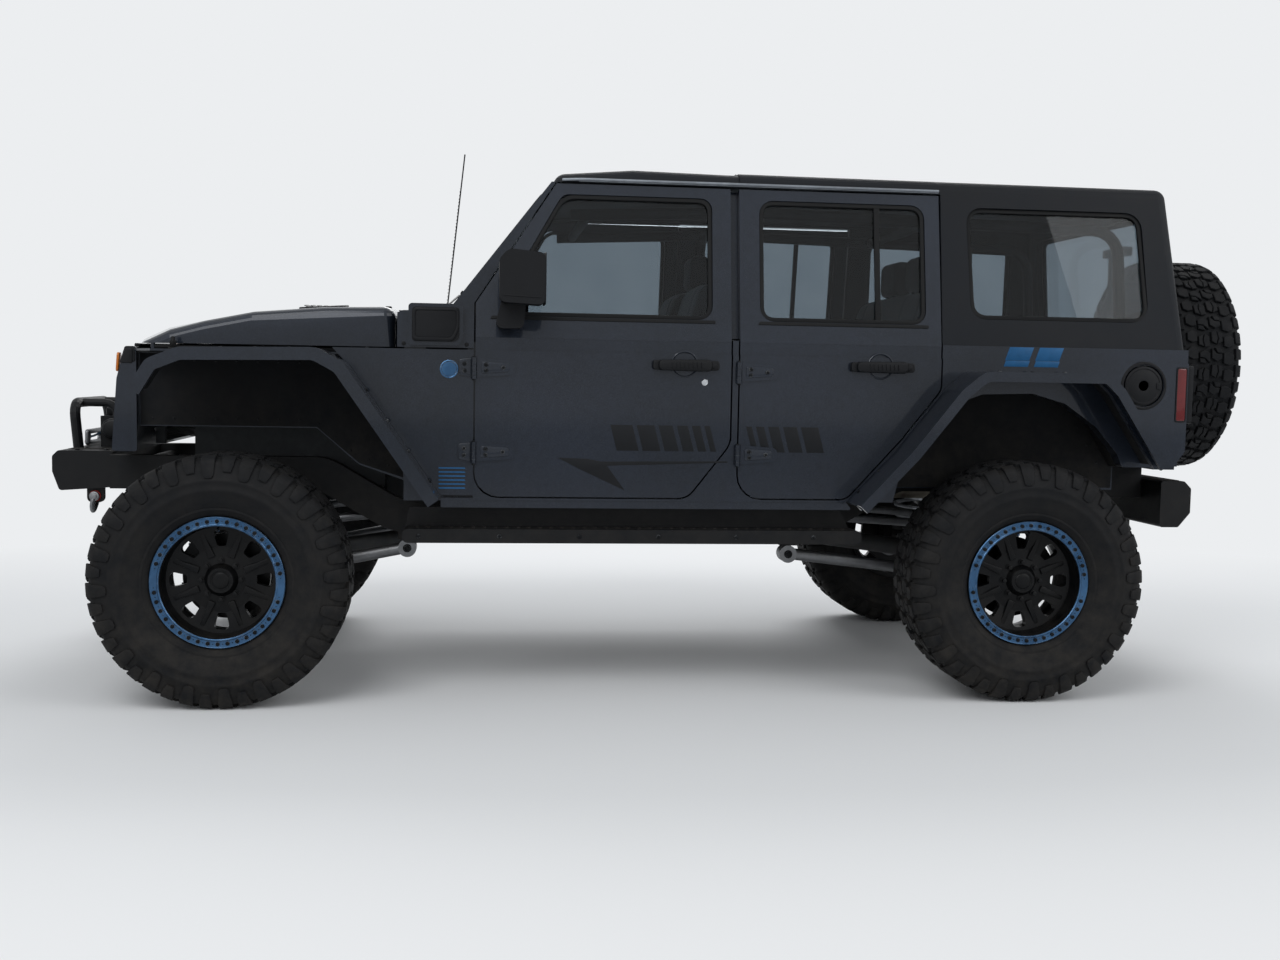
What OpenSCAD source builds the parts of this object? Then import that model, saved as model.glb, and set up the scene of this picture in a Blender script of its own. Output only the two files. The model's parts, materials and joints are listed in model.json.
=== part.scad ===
// Lifted off-road 4x4 with four side doors, hardtop, tube flares and beadlock wheels.
// Millimetres. +X points forward, +Y to the vehicle's left, +Z up, ground at Z = 0.
// Shapes are written with X = 0 at the front axle; car() moves them to the part's origin.

/* [Wheels] */
// Distance between the front and rear axles
wheelbase = 3008; // [2900:1:3200]
// Distance between the tyre centres of one axle
track = 1714; // [1660:1:1800]
// Outer diameter of a tyre
tyre_d = 920; // [860:1:960]
// Width of a tyre
tyre_w = 330; // [290:1:350]
// Diameter of the rim's bead seat
rim_d = 432; // [400:1:440]
// Outer diameter of the beadlock ring
ring_d = 474; // [460:1:490]
// Number of wheel spokes
spokes = 8; // [6:1:10]

/* [Body] */
// Half of the body's width below the shoulder line
body_half = 795; // [770:1:810]
// Step between the shoulder line and the upper door skin
shoulder_step = 8; // [4:1:12]
// Whole thickness of a door or body wall
wall = 60; // [50:1:70]
// Height of the body's lower edge
rocker_z = 717; // [700:1:730]
// Height of the doors' lower edge
door_z = 760; // [750:1:775]
// Height of the seam between hood and fender
seam_z = 1308; // [1295:1:1320]
// Height of the tub's upper edge, where the hardtop sits
belt_z = 1362; // [1350:1:1375]
// Height of the top of the doors
door_top_z = 1945; // [1935:1:1955]
// Height of the roof's shoulder
roof_z = 2008; // [2000:1:2030]
// Half of the body's width at the top of the doors
roof_half = 688; // [670:1:700]
// Gap round every door, lid and panel
gap = 6; // [5:1:8]
// Thickness of the window glass
glass_t = 5; // [4:1:8]

/* [Motion] */
// Distance of the steering pivots from the centre plane
kingpin_y = 716; // [700:1:730]
// Length of the steering arms
steer_arm = 165; // [150:1:170]

/* [Hidden] */
tyre_r = tyre_d / 2;
axle_z = tyre_r;
rear_x = -wheelbase;
wheel_y = track / 2;
shoulder_half = body_half - shoulder_step;
// Outline stations along the body, measured back from the front axle
front_reach = 724;
hood_rear_x = -604;
cowl_x = hood_rear_x - 2 * gap;
door1_x0 = -905;
door1_x1 = -1874;
door2_x0 = -1908;
door2_x1 = -2700;
tub_rear_x = -3712;
spare_x = -3990;
spare_z = 1314;
rear_reach = -spare_x + tyre_w / 2;
origin_x = (rear_reach - front_reach) / 2;
roof_seam_x = -1910;
header_x = -1212;
// Side windows lean inwards from the belt to the door tops
tilt = atan((shoulder_half - roof_half) / (door_top_z - belt_z));
lean = 1 / cos(tilt);
frame_t = 38;
// Post between the side windows: how far it laps the doors, and its thickness
post_lap = 14;
post_t = 30;
// Where it starts above the belt, and how far the lower post rises to meet it
post_foot = 16;
post_rise = 30;
pane_y = -20;
// Brake disc, measured from the wheel's centre plane
disc_r = 158;
disc_t = 24;
disc_in = -78;
disc_seat = -14.3;
hub_r = 70;
hub_end = wheel_y + disc_seat;
// Tyre bead and beadlock ring
ring_t = 12;
bead_y = tyre_w / 2 - 51;
ring_face = bead_y + ring_t;
hub_pad = -14;
// Clearance between pieces that rest on each other
seat_gap = 0.3;
floor_z = 758;
cargo_z = 926;
step_x = -2250;
spring_y = 540;
shock_y = 556;
spring_top = 770;
shock_tops = [[100, 850], [rear_x - 100, 850]];
skid_z = 584;
axle_seat = 56;
rear_tilt = 5.2;
lamp_r = 97;
// Windscreen plane
screen_base = [-800, 1451];
roof_edge_z = door_top_z + gap;
screen_top = [-1189, 1960];
rake = atan((screen_base[0] - screen_top[0]) / (screen_top[1] - screen_base[1]));
screen_len = norm(screen_top - screen_base);
// Frame rails
rail_y = 430;
rail_w = 70;
rail_h = 130;
rail_path = [[499.7, 815], [300, 815], [-330, 815], [-620, 645], [-2300, 645],
             [-2620, 830], [-3350, 830], [-3520, 812], [-3699.7, 812]];
// Hinge lines
hinge_r = 11;
hinge_y = body_half + hinge_r + 0.3;
hinge_dx = 5;
gate_half = 590;
gate_pivot = [tub_rear_x - 26, -(gate_half + 22)];
gate_t = 60;
gate_hinge_r = 14;
gate_hinge_z = [1010, 1260];
cowl_z = 1451;
fuel_x = -3527;
fuel_z = 1218;
fuel_r = 80;
flap_t = 8;
charge_x0 = -672;
charge_x1 = -845;
charge_z0 = 1336;
charge_z1 = 1462;
charge_y = body_half + 26;
// Steering column
pitman = [60, 351];
pitman_z = 660;
wheel_hub = [-1085, 370, 1300];
column_tilt = 62;
steering_r = 190;
$fn = 48;

// ---- Outline helpers ----

function unit(v) = v / norm(v);
function left_of(v) = [-v[1], v[0]];
// Arc points that round the corner p between its neighbours with radius r
function corner(p0, p, p1, r, n) =
  let (a = unit(p0 - p), b = unit(p1 - p), half = acos(a * b) / 2)
  r <= 0 || half > 89.5 ? [p] :
  let (c = p + unit(a + b) * r / sin(half), s = p + a * r / tan(half) - c,
       e = p + b * r / tan(half) - c, sweep = 180 - 2 * half)
  [for (i = [0 : n]) c + (s * sin((1 - i / n) * sweep) + e * sin(i / n * sweep)) / sin(sweep)];
function radius_at(r, i) = is_list(r) ? r[i] : r;
// Closed outline with rounded corners
function rounded(pts, r, n = 5) = let (m = len(pts))
  [for (i = [0 : m - 1]) each corner(pts[(i + m - 1) % m], pts[i], pts[(i + 1) % m], radius_at(r, i), n)];
// Open path with rounded bends
function bent(pts, r, n = 5) = let (m = len(pts))
  [pts[0], for (i = [1 : m - 2]) each corner(pts[i - 1], pts[i], pts[i + 1], radius_at(r, i), n),
    pts[m - 1]];
// Path moved sideways by d, to its left
function beside(pts, d) = let (m = len(pts))
  [for (i = [0 : m - 1])
    let (a = unit(pts[max(i, 1)] - pts[max(i, 1) - 1]), k = min(i, m - 2), b = unit(pts[k + 1] - pts[k]),
         n = unit(left_of(a) + left_of(b)))
    pts[i] + n * d / (n * left_of(a))];
// Closed outline moved inwards by d, for outlines that run anticlockwise
function inset(pts, d) = let (m = len(pts))
  [for (i = [0 : m - 1])
    let (a = unit(pts[i] - pts[(i + m - 1) % m]), b = unit(pts[(i + 1) % m] - pts[i]),
         n = unit(left_of(a) + left_of(b)))
    pts[i] + n * d / (n * left_of(a))];
function backwards(pts) = [for (i = [len(pts) - 1 : -1 : 0]) pts[i]];
// Strip of width d along a path
function strip(path, d) = concat(path, backwards(beside(path, d)));
function box_outline(x0, z0, x1, z1) = [[x0, z0], [x1, z0], [x1, z1], [x0, z1]];

// ---- Placing helpers ----

module car() translate([origin_x, 0, 0]) children();
module both() { children(); mirror([0, 1, 0]) children(); }
module on_right() mirror([0, 1, 0]) children();
// Plate whose outline lies in the XZ plane, from y0 to y1
module slab(pts, y0, y1) translate([0, y1, 0]) rotate([90, 0, 0]) linear_extrude(y1 - y0) polygon(pts);
// Plate whose outline lies in the XY plane, from z0 to z1
module deck(pts, z0, z1) translate([0, 0, z0]) linear_extrude(z1 - z0) polygon(pts);
module block(lo, hi) translate(lo) cube(hi - lo);
module rod(a, b, r) {
  d = b - a;
  translate(a) rotate([0, acos(d[2] / norm(d)), atan2(d[1], d[0])]) cylinder(h = norm(d), r = r);
}
// Skin over a row of rings, each of the given number of points
module skin(rings, m, sides) {
  walls = [for (i = [0 : m - 2]) for (k = [0 : sides - 1])
    let (j = (k + 1) % sides, p = i * sides)
    each [[p + k, p + sides + k, p + j], [p + j, p + sides + k, p + sides + j]]];
  polyhedron(rings, concat([[for (k = [0 : sides - 1]) k]],
    walls, [[for (k = [sides - 1 : -1 : 0]) (m - 1) * sides + k]]));
}
// Bent tube through points that lie in one plane, with its bends rounded
module pipe(pts, bend, r, sides = 14) {
  path = bent(pts, bend, 5);
  m = len(path);
  normal = unit(cross(pts[1] - pts[0], pts[2] - pts[1]));
  skin([for (i = [0 : m - 1])
    let (a = unit(path[max(i, 1)] - path[max(i, 1) - 1]), k = min(i, m - 2),
         t = unit(a + unit(path[k + 1] - path[k])), s = cross(normal, t) / (t * a))
    for (q = [0 : sides - 1]) path[i] + r * (cos(q * 360 / sides) * s + sin(q * 360 / sides)
      * normal)], m, sides);
}
module across(x, z, y0, y1, r) translate([x, y1, z]) rotate([90, 0, 0]) cylinder(h = y1 - y0, r = r);
// Local frame of the leaning window plane: Z runs up it, its outer face is Y = 0
module leaning() translate([0, shoulder_half, belt_z]) rotate([tilt, 0, 0]) children();
// Local frame of the windscreen: Y across, Z up the glass, X out through its face
module on_screen() translate([screen_base[0], 0, screen_base[1]]) rotate([0, -rake, 0]) children();
function up_lean(z) = (z - belt_z) * lean;

// ---- Wheels ----

// A hollow tyre about the Y axis, open towards the rim between its beads
module tyre() {
  h = tyre_w / 2;
  bead = rim_d / 2 + 0.3;
  side = (tyre_r + bead) / 2;
  lip = ring_d / 2 + seat_gap;
  half = rounded([[bead, bead_y - 14], [bead, bead_y - seat_gap], [lip, bead_y - seat_gap],
    [lip + 2, bead_y + 8], [side, h],
    [tyre_r - 58, h - 4], [tyre_r - 6, h - 34], [tyre_r, h - 74], [tyre_r, h - 90]],
      [0, 0, 0, 6, 50, 40, 16, 60, 0], 4);
  inner = rounded([[tyre_r - 26, h - 90], [tyre_r - 30, h - 56], [side, h - 16],
    [bead + 30, bead_y - 8], [bead + 12, bead_y - 22]],
    [0, 30, 40, 16, 0], 4);
  flip = function(pts) [for (i = [len(pts) - 1 : -1 : 0]) [pts[i][0], -pts[i][1]]];
  color("#1a1a1c") rotate([90, 0, 0]) rotate_extrude($fn = 96)
    polygon(concat(half, flip(half), flip(inner), inner));
}

// Barrel, beadlock ring and spoked centre; +Y is the outer face
module rim() {
  h = tyre_w / 2;
  seat = rim_d / 2;
  well = seat - 22;
  dish = 46;
  color("#17181b") difference() {
    rotate([-90, 0, 0]) union() {
      // Rolled barrel with its inner flange and the bolted ring
      rotate_extrude($fn = 96) polygon([[seat, -bead_y - 1], [seat + 12, -h + 40],
        [seat + 12, -h + 32], [seat - 8, -h + 32],
        [seat - 16, -h + 70], [well, -h + 110], [well, 60], [seat - 14, ring_face - 30],
          [seat - 14, ring_face],
        [ring_d / 2, ring_face], [ring_d / 2, bead_y], [seat, bead_y], [seat, bead_y - 3],
        [seat - 8, h - 80], [seat - 14, 40], [seat - 14, -h + 130], [seat - 8, -h + 78]]);
      // Dished centre from the hub pad to the barrel
      rotate_extrude($fn = 96) polygon([[0, hub_pad], [96, hub_pad], [104, 10], [well + 4, 22],
        [well + 4, 56],
        [120, dish - 4], [84, dish], [60, dish + 4], [46, dish + 24], [0, dish + 24]]);
    }
    // Windows between the spokes
    for (i = [0 : spokes - 1]) rotate([0, i * 360 / spokes, 0])
      slab(rounded([[122, -15], [well - 12, -31], [well - 12, 31], [122, 15]], [9, 16, 16, 9]), 0, 80);
  }
}

// Brake disc clamped between the hub and the wheel
module brake_disc() color("#7d8084") rotate([-90, 0, 0]) rotate_extrude($fn = 96)
  polygon([[76, disc_in], [disc_r, disc_in], [disc_r, disc_in + disc_t], [90, disc_in + disc_t],
    [90, disc_seat], [76, disc_seat]]);

module wheel_at(x, side, z = axle_z) translate([x, side * wheel_y, z]) children();
module tyre_at(x, side) car() wheel_at(x, side) tyre();
module rim_at(x, side) car() wheel_at(x, side) rotate([0, 0, side > 0 ? 0 : 180]) {
  rim();
  brake_disc();
}
module spare_place() translate([spare_x, 0, spare_z]) rotate([0, 0, 90]) children();

// ---- Chassis ----

rail_outline = strip(bent([for (p = rail_path) p - [0, -rail_h / 2]], 190), rail_h);

module frame() color("#1c1d1f") car() {
  both() slab(rail_outline, rail_y - rail_w / 2, rail_y + rail_w / 2);
  // Crossmembers
  for (c = [[450, 815, 36], [-480, 727, 26], [-2200, 684, 26], [-3650, 803, 36]])
    across(c[0], c[1], -rail_y, rail_y, c[2]);
  // Skid plate under the gearbox
  deck(box_outline(-1160, -rail_y - 20, -1690, rail_y + 20), skid_z - 18, skid_z);
  both() {
    // Spring perches and upper shock brackets
    for (x = [0, rear_x]) block([x - 70, rail_y + 30, spring_top],
      [x + 70, spring_y + 72, spring_top + 12]);
    for (e = shock_tops) block([e[0] - 30, rail_y + 30, e[1] + 20 + seat_gap],
      [e[0] + 30, shock_y + 34, e[1] + 32]);
    // Body mounts up to the tub floor
    for (x = [-760, -1480, -2150]) translate([x, rail_y, 690]) cylinder(h = 48 - seat_gap, r = 34);
    for (x = [-2700, -3560]) translate([x, rail_y, 860]) cylinder(h = 46 - seat_gap, r = 34);
    // Brackets of the lower and upper links, and the engine mounts
    block([-676, rail_y - 30, 556 + seat_gap], [-604, rail_y + 30, 596]);
    block([-2226, rail_y - 30, 536 + seat_gap], [-2154, rail_y + 30, 596]);
    block([-590, 368 + seat_gap, 640], [-530, 400, 680]);
    block([-2360, 358 + seat_gap, 620], [-2300, 400, 680]);
    block([-250, 300 + seat_gap, 770], [-150, 400, 800]);
  }
  // Steering box inside the left rail, and the exhaust hangers on the right
  block([10, 305, 700], [110, 397, 860]);
  block([-1920, -400, 600], [-1900, -288 - seat_gap, 625]);
  block([-3350, -400, 766], [-3310, -300 - seat_gap, 790]);
}

module rock_sliders() color("#131415") car() both() {
  slab(rounded([[-640, 600], [-660, 712], [-2330, 712], [-2390, 600]], 14), 700, 717);
  slab(rounded([[-640, 588], [-640, 640], [-2390, 640], [-2390, 588]], 20), 716, 838);
  for (x = [-820, -1300, -1780, -2240]) block([x - 40, rail_y + rail_w / 2 + seat_gap, 605],
    [x + 40, 701, 655]);
}

module diff_bulge(y) translate([0, y, 0]) rotate([0, 90, 0])
  cylinder(h = 190, r1 = 130, r2 = 88, center = true);

module front_axle() color("#1b1c1e") car() translate([0, 0, axle_z]) {
  across(0, 0, -655, 655, 42);
  diff_bulge(230);
  translate([-170, 230, 10]) rotate([0, 90, 0]) cylinder(h = 110, r = 46);
  // Forked ends that hold the knuckles by their ball joints
  both() {
    block([-34, 640, -100], [34, 666, 100]);
    for (s = [-1, 1]) translate([0, 0, s * 91]) block([-34, 641, -12], [34, kingpin_y + 32, 12]);
    translate([0, spring_y, 36]) cylinder(h = 20, r = 72);
    link_brackets(-1, 350, 111.7);
  }
}

// Brackets on an axle for its lower link, upper link and shock, on the given side
module link_brackets(side, upper_y, upper_h) {
  mirror([side < 0 ? 0 : 1, 0, 0]) {
    block([-94 + seat_gap, 380, -90], [-20, 470, 20]);
    block([-60, upper_y - 20, 20], [-20, upper_y + 20, upper_h]);
    block([20, shock_y + 22 + seat_gap, -50], [125, shock_y + 36, -16]);
  }
}

module rear_axle() color("#1b1c1e") car() translate([rear_x, 0, axle_z]) {
  across(0, 0, -700, 700, 42);
  diff_bulge(0);
  translate([90, 0, 10]) rotate([0, 90, 0]) cylinder(h = 90, r = 46);
  both() {
    translate([0, spring_y, 36]) cylinder(h = 20, r = 72);
    link_brackets(1, 250, 121.7);
    // Hub and brake caliper at the axle end
    across(0, 0, 690, hub_end, hub_r);
    rotate([0, -55, 0]) caliper_on_arm(724);
  }
}

arm_r = 24;
module link(a, b) {
  rod(a, b, arm_r);
  for (p = [a, b]) across(p[0], p[2], p[1] - 34, p[1] + 34, 36);
}

module control_arms() color("#8b8d8f") car() both() {
  link([-130, 425, 420], [-640, 425, 520]);
  link([rear_x + 130, 425, 420], [-2190, 425, 500]);
  rod([-20, 350, 590], [-590, 350, 655], 18);
  rod([rear_x + 20, 250, 600], [-2300, 340, 650], 18);
}

// Points of a coil spring's centreline, n turns of radius r over height h
function coil_line(r, h, turns, seg) =
  [for (i = [0 : turns * seg]) [r * cos(i * 360 / seg), r * sin(i * 360 / seg), h * i / (turns * seg)]];
// Tube of hexagonal section swept along a coil
module coil_tube(r, h, turns, wire, seg = 12, sides = 6) {
  line = coil_line(r, h, turns, seg);
  m = len(line);
  rings = [for (i = [0 : m - 1]) for (k = [0 : sides - 1])
    let (a = i * 360 / seg, q = k * 360 / sides)
    line[i] + wire * (cos(q) * [cos(a), sin(a), 0] + sin(q) * [0, 0, 1])];
  skin(rings, m, sides);
}

spring_r = 62;
spring_wire = 9;
module coil_springs() color("#b9bcc0") car() both() {
  low = spring_wire * cos(30) + seat_gap;
  for (x = [0, rear_x]) translate([x, spring_y, axle_z + axle_seat + low])
    coil_tube(spring_r, spring_top - axle_z - axle_seat - 2 * low, 5, spring_wire);
}

module shock(lower, upper, body_r) {
  mid = lower + (upper - lower) * 0.45;
  rod(lower + [0, 0, 16], mid, body_r);
  rod(mid - [0, 0, 5], upper, 9);
  for (p = [lower, upper]) across(p[0], p[2], p[1] - 22, p[1] + 22, 20);
}

module shock_absorbers() color("#202226") car() both()
  for (e = shock_tops) shock([e[0], shock_y, axle_z - 30], [e[0], shock_y, e[1]], 26);

module driveline() color("#55585c") car() {
  // Gearbox with its transfer case
  slab(rounded([[-540.3, 640], [-540.3, 900], [-590, 900], [-632, 732], [-1420, 732],
    [-1420, skid_z + seat_gap],
    [-1100, skid_z + seat_gap], [-700, 610]], [10, 20, 20, 20, 20, 20, 20, 20]), -150, 150);
  block([-1330, 100, 600], [-1200, 270, 700]);
  // Shafts to both axles
  rod([-1400, 0, 660], [rear_x + 186, 0, axle_z + 14], 38);
  rod([-1250, 230, 640], [-175.3, 230, axle_z + 14], 30);
}

module engine_block() color("#4a4d50") car() block([-540, -300, 760], [210, 300, 1240]);

module exhaust() color("#77797b") car() {
  pipe([[-560, -260, skid_z + 32], [-2150, -260, skid_z + 32], [-2560, -260, 700],
    [-3250, -260, 700]], 120, 28);
  slab(rounded(box_outline(-3420, 632, -3240, 768), 60), -300, 220);
  rod([-3400, -150, 700], [-3600, -150, 660], 24);
}

module fuel_tank() color("#16171a") car()
  slab(rounded([[-1710, 590], [-1710, 730], [-2160, 730], [-2160, 560],
    [-1760, 560]], 25), 160, rail_y - rail_w / 2 - seat_gap);

// ---- Steering ----

// Brake caliper over the disc; Y runs outwards from the wheel's centre plane
module caliper() difference() {
  slab(rounded([[-70, 118], [70, 118], [76, 172], [-76, 172]],
    [10, 10, 30, 30]), disc_in - 34, disc_in + disc_t + 24);
  across(0, 0, disc_in - 4, disc_in + disc_t + 4, disc_r + 5);
}

// Knuckle with hub, caliper and a steering arm that points forward
module caliper_on_arm(y) {
  translate([0, wheel_y, 0]) caliper();
  slab(box_outline(-30, 40, 30, 140), y, y + 24);
}

module knuckle() translate([0, 0, axle_z]) {
  translate([0, kingpin_y, seat_gap - 79]) cylinder(h = 158 - 2 * seat_gap, r = 24);
  slab(rounded(box_outline(-60, -74, 60, 74), 26), kingpin_y + 14, kingpin_y + 40);
  across(0, 0, kingpin_y + 40, hub_end, hub_r);
  rotate([0, 55, 0]) caliper_on_arm(kingpin_y + 16);
  translate([0, kingpin_y, 0])
    deck(rounded([[-10, -20], [steer_arm, -20], [steer_arm + 22, 0], [steer_arm, 20], [-10, 22]],
      [4, 16, 16, 16, 4]), -62, -40);
}

module left_knuckle() color("#26282b") car() knuckle();
module right_knuckle() color("#26282b") car() on_right() knuckle();

// Tie rod under the two steering arms, and the drag link from the pitman arm to the right one
module steering_rods() color("#303236") car() {
  z = axle_z - 80;
  rod([steer_arm, -kingpin_y, z], [steer_arm, kingpin_y, z], 16);
  both() translate([steer_arm, kingpin_y, z]) cylinder(h = 17.7, r = 15);
  rod([steer_arm, -kingpin_y + 4, axle_z - 14], [pitman[0] + steer_arm, pitman[1], pitman_z - 34], 14);
  translate([steer_arm, -kingpin_y, axle_z - 39.7]) cylinder(h = 36, r = 15);
  translate([pitman[0] + steer_arm, pitman[1], pitman_z - 44]) cylinder(h = 43.7, r = 15);
}

module pitman_arm() color("#303236") car() {
  deck(rounded([[pitman[0] - 28, pitman[1] - 24], [pitman[0] + steer_arm + 20, pitman[1] - 18],
    [pitman[0] + steer_arm + 20, pitman[1] + 18], [pitman[0] - 28, pitman[1] + 24]], 14),
      pitman_z, pitman_z + 20);
  translate([pitman[0], pitman[1], pitman_z + 20]) cylinder(h = 19.7, r = 20);
}

// ---- Body ----

arch_rear = [[-2780, 1141], [-2869, 1174], [-3072, 1180], [-3206, 1143], [-3333, 1056], [-3432, 944], [-3450, 895]];

module quarter_panel() {
  // Rear quarter with its arch, below and above the shoulder line
  outline = rounded(concat([[door2_x1 - gap, seam_z], [tub_rear_x, seam_z], [tub_rear_x, 960], [-3664, 895]],
    backwards(arch_rear), [[door2_x1 - gap, 1188]]), [0, 0, 20, 20, 20, 60, 60, 60, 60, 60, 0, 0], 4);
  difference() {
    union() {
      slab(outline, body_half - wall, body_half);
      slab(box_outline(door2_x1 - gap, seam_z - 1, tub_rear_x, belt_z), body_half - wall, shoulder_half);
    }
    across(fuel_x, fuel_z, body_half - 45, body_half + 5, fuel_r + 3);
  }
  // Filler cap under its flap
  across(fuel_x, fuel_z, body_half - 46, body_half - flap_t - seat_gap, 34);
}

well_line = [[-2420, 790], [-2600, 1010], [-2760, 1205], [-2870, 1240], [-3210, 1240],
  [-3330, 1175], [-3500, 900]];
well_y = 610;
// Body skin under and between the doors, and the strip behind the rear door
module door_surround() difference() {
  slab([[door1_x0 + gap - seat_gap, 745], [door1_x0 + gap - seat_gap, 980], [-2500, 980], [-2706, 1210],
    [-2790, 1210], [-2780, 1141], [-2692, 1072], [-2557, 895], [-2522, 748]], body_half - wall + 5, body_half);
  slab(inset(door1_low, -gap), 700, body_half + 1);
  slab(inset(door2_low, -gap), 700, body_half + 1);
}

module wheel_well() {
  slab(strip(bent(well_line, 50), 18), well_y - 1, body_half - wall + 1);
  slab(concat(well_line, [[-3500, 790]]), well_y - 17, well_y);
}

module tub() color("#3b424b") car() {
  // Floor, cargo floor, the step between them and the firewall
  deck(box_outline(-641, 1 - body_half + wall, step_x - 40, body_half - wall - 1), floor_z - 20, floor_z);
  deck(box_outline(step_x, 2 - well_y, tub_rear_x + gate_t + gap, well_y - 2), cargo_z - 20, cargo_z);
  block([step_x - 40, 2 - well_y, floor_z - 20], [step_x, well_y - 2, cargo_z]);
  block([-690, -690, floor_z - 20], [-640, 690, 1440]);
  both() {
    // Sill under the doors
    slab(rounded([[-780, rocker_z], [-780, door_z - gap], [-2330, door_z - gap], [-2362, rocker_z]], 6),
      body_half - wall - 41, body_half - 4);
    // Post between the doors and the strip that shows in their gap
    block([door2_x0 - 40, shoulder_half - wall - 34, floor_z - 20],
      [door1_x1 + 30, shoulder_half - wall - gap, belt_z + post_rise]);
    block([door2_x0 + gap, shoulder_half - wall - 7, floor_z - 20],
      [door1_x1 - gap, shoulder_half, belt_z]);
    block([door2_x0 + gap, shoulder_half - 1, floor_z], [door1_x1 - gap, body_half, seam_z]);
    // Post between the windows, up to the roof
    leaning() block([door2_x0 - post_lap, -frame_t - gap - post_t, post_foot],
      [door1_x1 + post_lap, -frame_t - gap, up_lean(door_top_z)]);
    quarter_panel();
    door_surround();
    wheel_well();
    // Post that carries the front door's hinges
    block([door1_x0 - 20, 690, floor_z - 20], [door1_x0 + 30, body_half - wall - gap, seam_z + 30]);
    // Door opening's rear jamb
    block([door2_x1 - 60, body_half - wall - 30, 1210], [door2_x1 + 24, body_half - wall - gap, belt_z]);
    block([door2_x1 - 60, body_half - wall - gap - 1, 1210], [door2_x1 - 10, body_half - wall + 1, belt_z]);
    // Cowl side ahead of the door, with the charge port's housing
    slab([[cowl_x, seam_z + gap], [cowl_x, 1441], [-640, 1450], [door1_x0 + gap, 1450],
      [door1_x0 + gap, seam_z + gap]],
      body_half - 50, shoulder_half);
    slab([[-640, floor_z - 20], [-640, seam_z + 40], [-720, seam_z + 40],
      [-720, floor_z - 20]], 689, body_half - 50 - seat_gap);
    // Corner posts at the tailgate
    block([tub_rear_x, gate_half + gap, cargo_z - 30], [tub_rear_x + 60, body_half - wall + 1, belt_z]);
  }
  slab(rounded(box_outline(charge_x1 - 14, charge_z0 - 14, charge_x0 + 14, charge_z1 + 14),
    [30, 14, 14, 14]),
    shoulder_half - 14, charge_y - flap_t - seat_gap);
  // Cowl top
  slab([[cowl_x, 1441], [-640, cowl_z], [-799, cowl_z], [-799, cowl_z - 22], [-640, cowl_z - 22],
    [cowl_x, 1419]],
    -body_half + 49, body_half - 49);
  // Sill below the tailgate, and the seats of the gate's hinges
  block([tub_rear_x, -body_half + wall + 20, cargo_z - 44],
    [tub_rear_x + gate_t + 30, body_half - wall - 20, cargo_z - 19]);
  for (z = gate_hinge_z) block([gate_pivot[0] + gate_hinge_r + seat_gap, gate_pivot[1] - 28, z - 40],
    [tub_rear_x + 1, gate_pivot[1] + 10, z + 40]);
}

// Body side between the front flare and the door
module fender_side()
  slab(concat([[door1_x0 + gap, 764], [door1_x0 + gap, seam_z], [-380, seam_z]],
    [for (p = beside(front_lip, -seat_gap)) if (p[0] < -380) p]), body_half - 50, body_half);

module front_fenders() color("#3b424b") car() both() {
  fender_side();
  // Inner apron beside the engine, its top ledge and the hood's rubber stops
  slab([[359.7, 1000], [359.7, 1290], [-634, 1290], [-634, 800], [-460, 860], [-300, 1000]], 560, 574);
  deck([[359.7, 560], [-634, 560], [-634, flare_in - seat_gap], [280, flare_in - seat_gap], [359.7, 640]],
    1283, 1291);
  for (p = [[300, 612], [-500, 696]]) translate([p[0], p[1],
    1290]) cylinder(h = seam_z + gap - 1290 - seat_gap, r = 8);
}

front_lip = bent([[300, 1150], [238, 1252], [130, 1296], [-345, 1304], [-440, 1252], [-778, 764]],
  [0, 60, 90, 90, 90, 0], 5);
rear_lip = bent([[-2336, 752], [-2530, 957], [-2640, 1096], [-2714, 1190], [-2800, 1262], [-3290, 1262],
  [-3352, 1204], [-3540, 918]], [0, 200, 200, 60, 90, 60, 60, 0], 5);
flare_out = 1006;
flare_in = body_half - 48;

module flare(path, inner, lip) {
  // Flat plate, turned-down lip and inner stiffening tube
  slab(strip(path, 8), inner, flare_out - 14);
  slab(strip(path, lip), flare_out - 14, flare_out);
  slab(strip(beside(path, 7), 26), flare_out - 90, flare_out - 64);
}

module tube_flares() color("#3b424b") car() both() {
  flare(front_lip, flare_in, 46);
  flare(rear_lip, body_half + seat_gap, 38);
}

// Hood: heights of its shoulder line and of its crown along its length
hood_edge = [[316, 1326], [225, 1369], [100, 1402], [-80, 1438], [-350, 1460], [hood_rear_x, 1464]];
hood_crown = [[388, 1342], [300, 1384], [140, 1420], [-90, 1452], [-350, 1474], [hood_rear_x, 1476]];
hood_nose = 404;
crown_half = 250;
function hood_half(x) = 612 + (hood_nose - x) / (hood_nose - hood_rear_x) * 118;
module hood_row(line, half, r, drop) for (i = [0 : 5]) for (s = [-1, 1]) {
  p = line[i];
  translate([p[0] + (i == 5 ? r : 0), s * (half(p[0]) - r - drop),
    p[1] - r - drop]) sphere(r = r, $fn = 24);
}
module hood_form(r, drop) hull() {
  hood_row(hood_edge, function(x) hood_half(x), r, drop);
  hood_row(hood_crown, function(x) crown_half + r + drop, r, drop);
  for (s = [-1, 1]) {
    translate([300 - drop, s * (hood_half(300) - 20 - drop),
      seam_z - 60]) cylinder(h = 10, r = 20, $fn = 24);
    translate([388 - drop, s * 330, seam_z - 60]) cylinder(h = 10, r = 20, $fn = 24);
    translate([hood_rear_x + 20, s * (hood_half(hood_rear_x) - 20 - drop),
      seam_z - 60]) cylinder(h = 10, r = 20, $fn = 24);
  }
}

module hood() color("#3b424b") car() difference() {
  hood_form(40, 0);
  hood_form(34, 18);
  block([-700, -900, 1000], [600, 900, seam_z + gap]);
}

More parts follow.
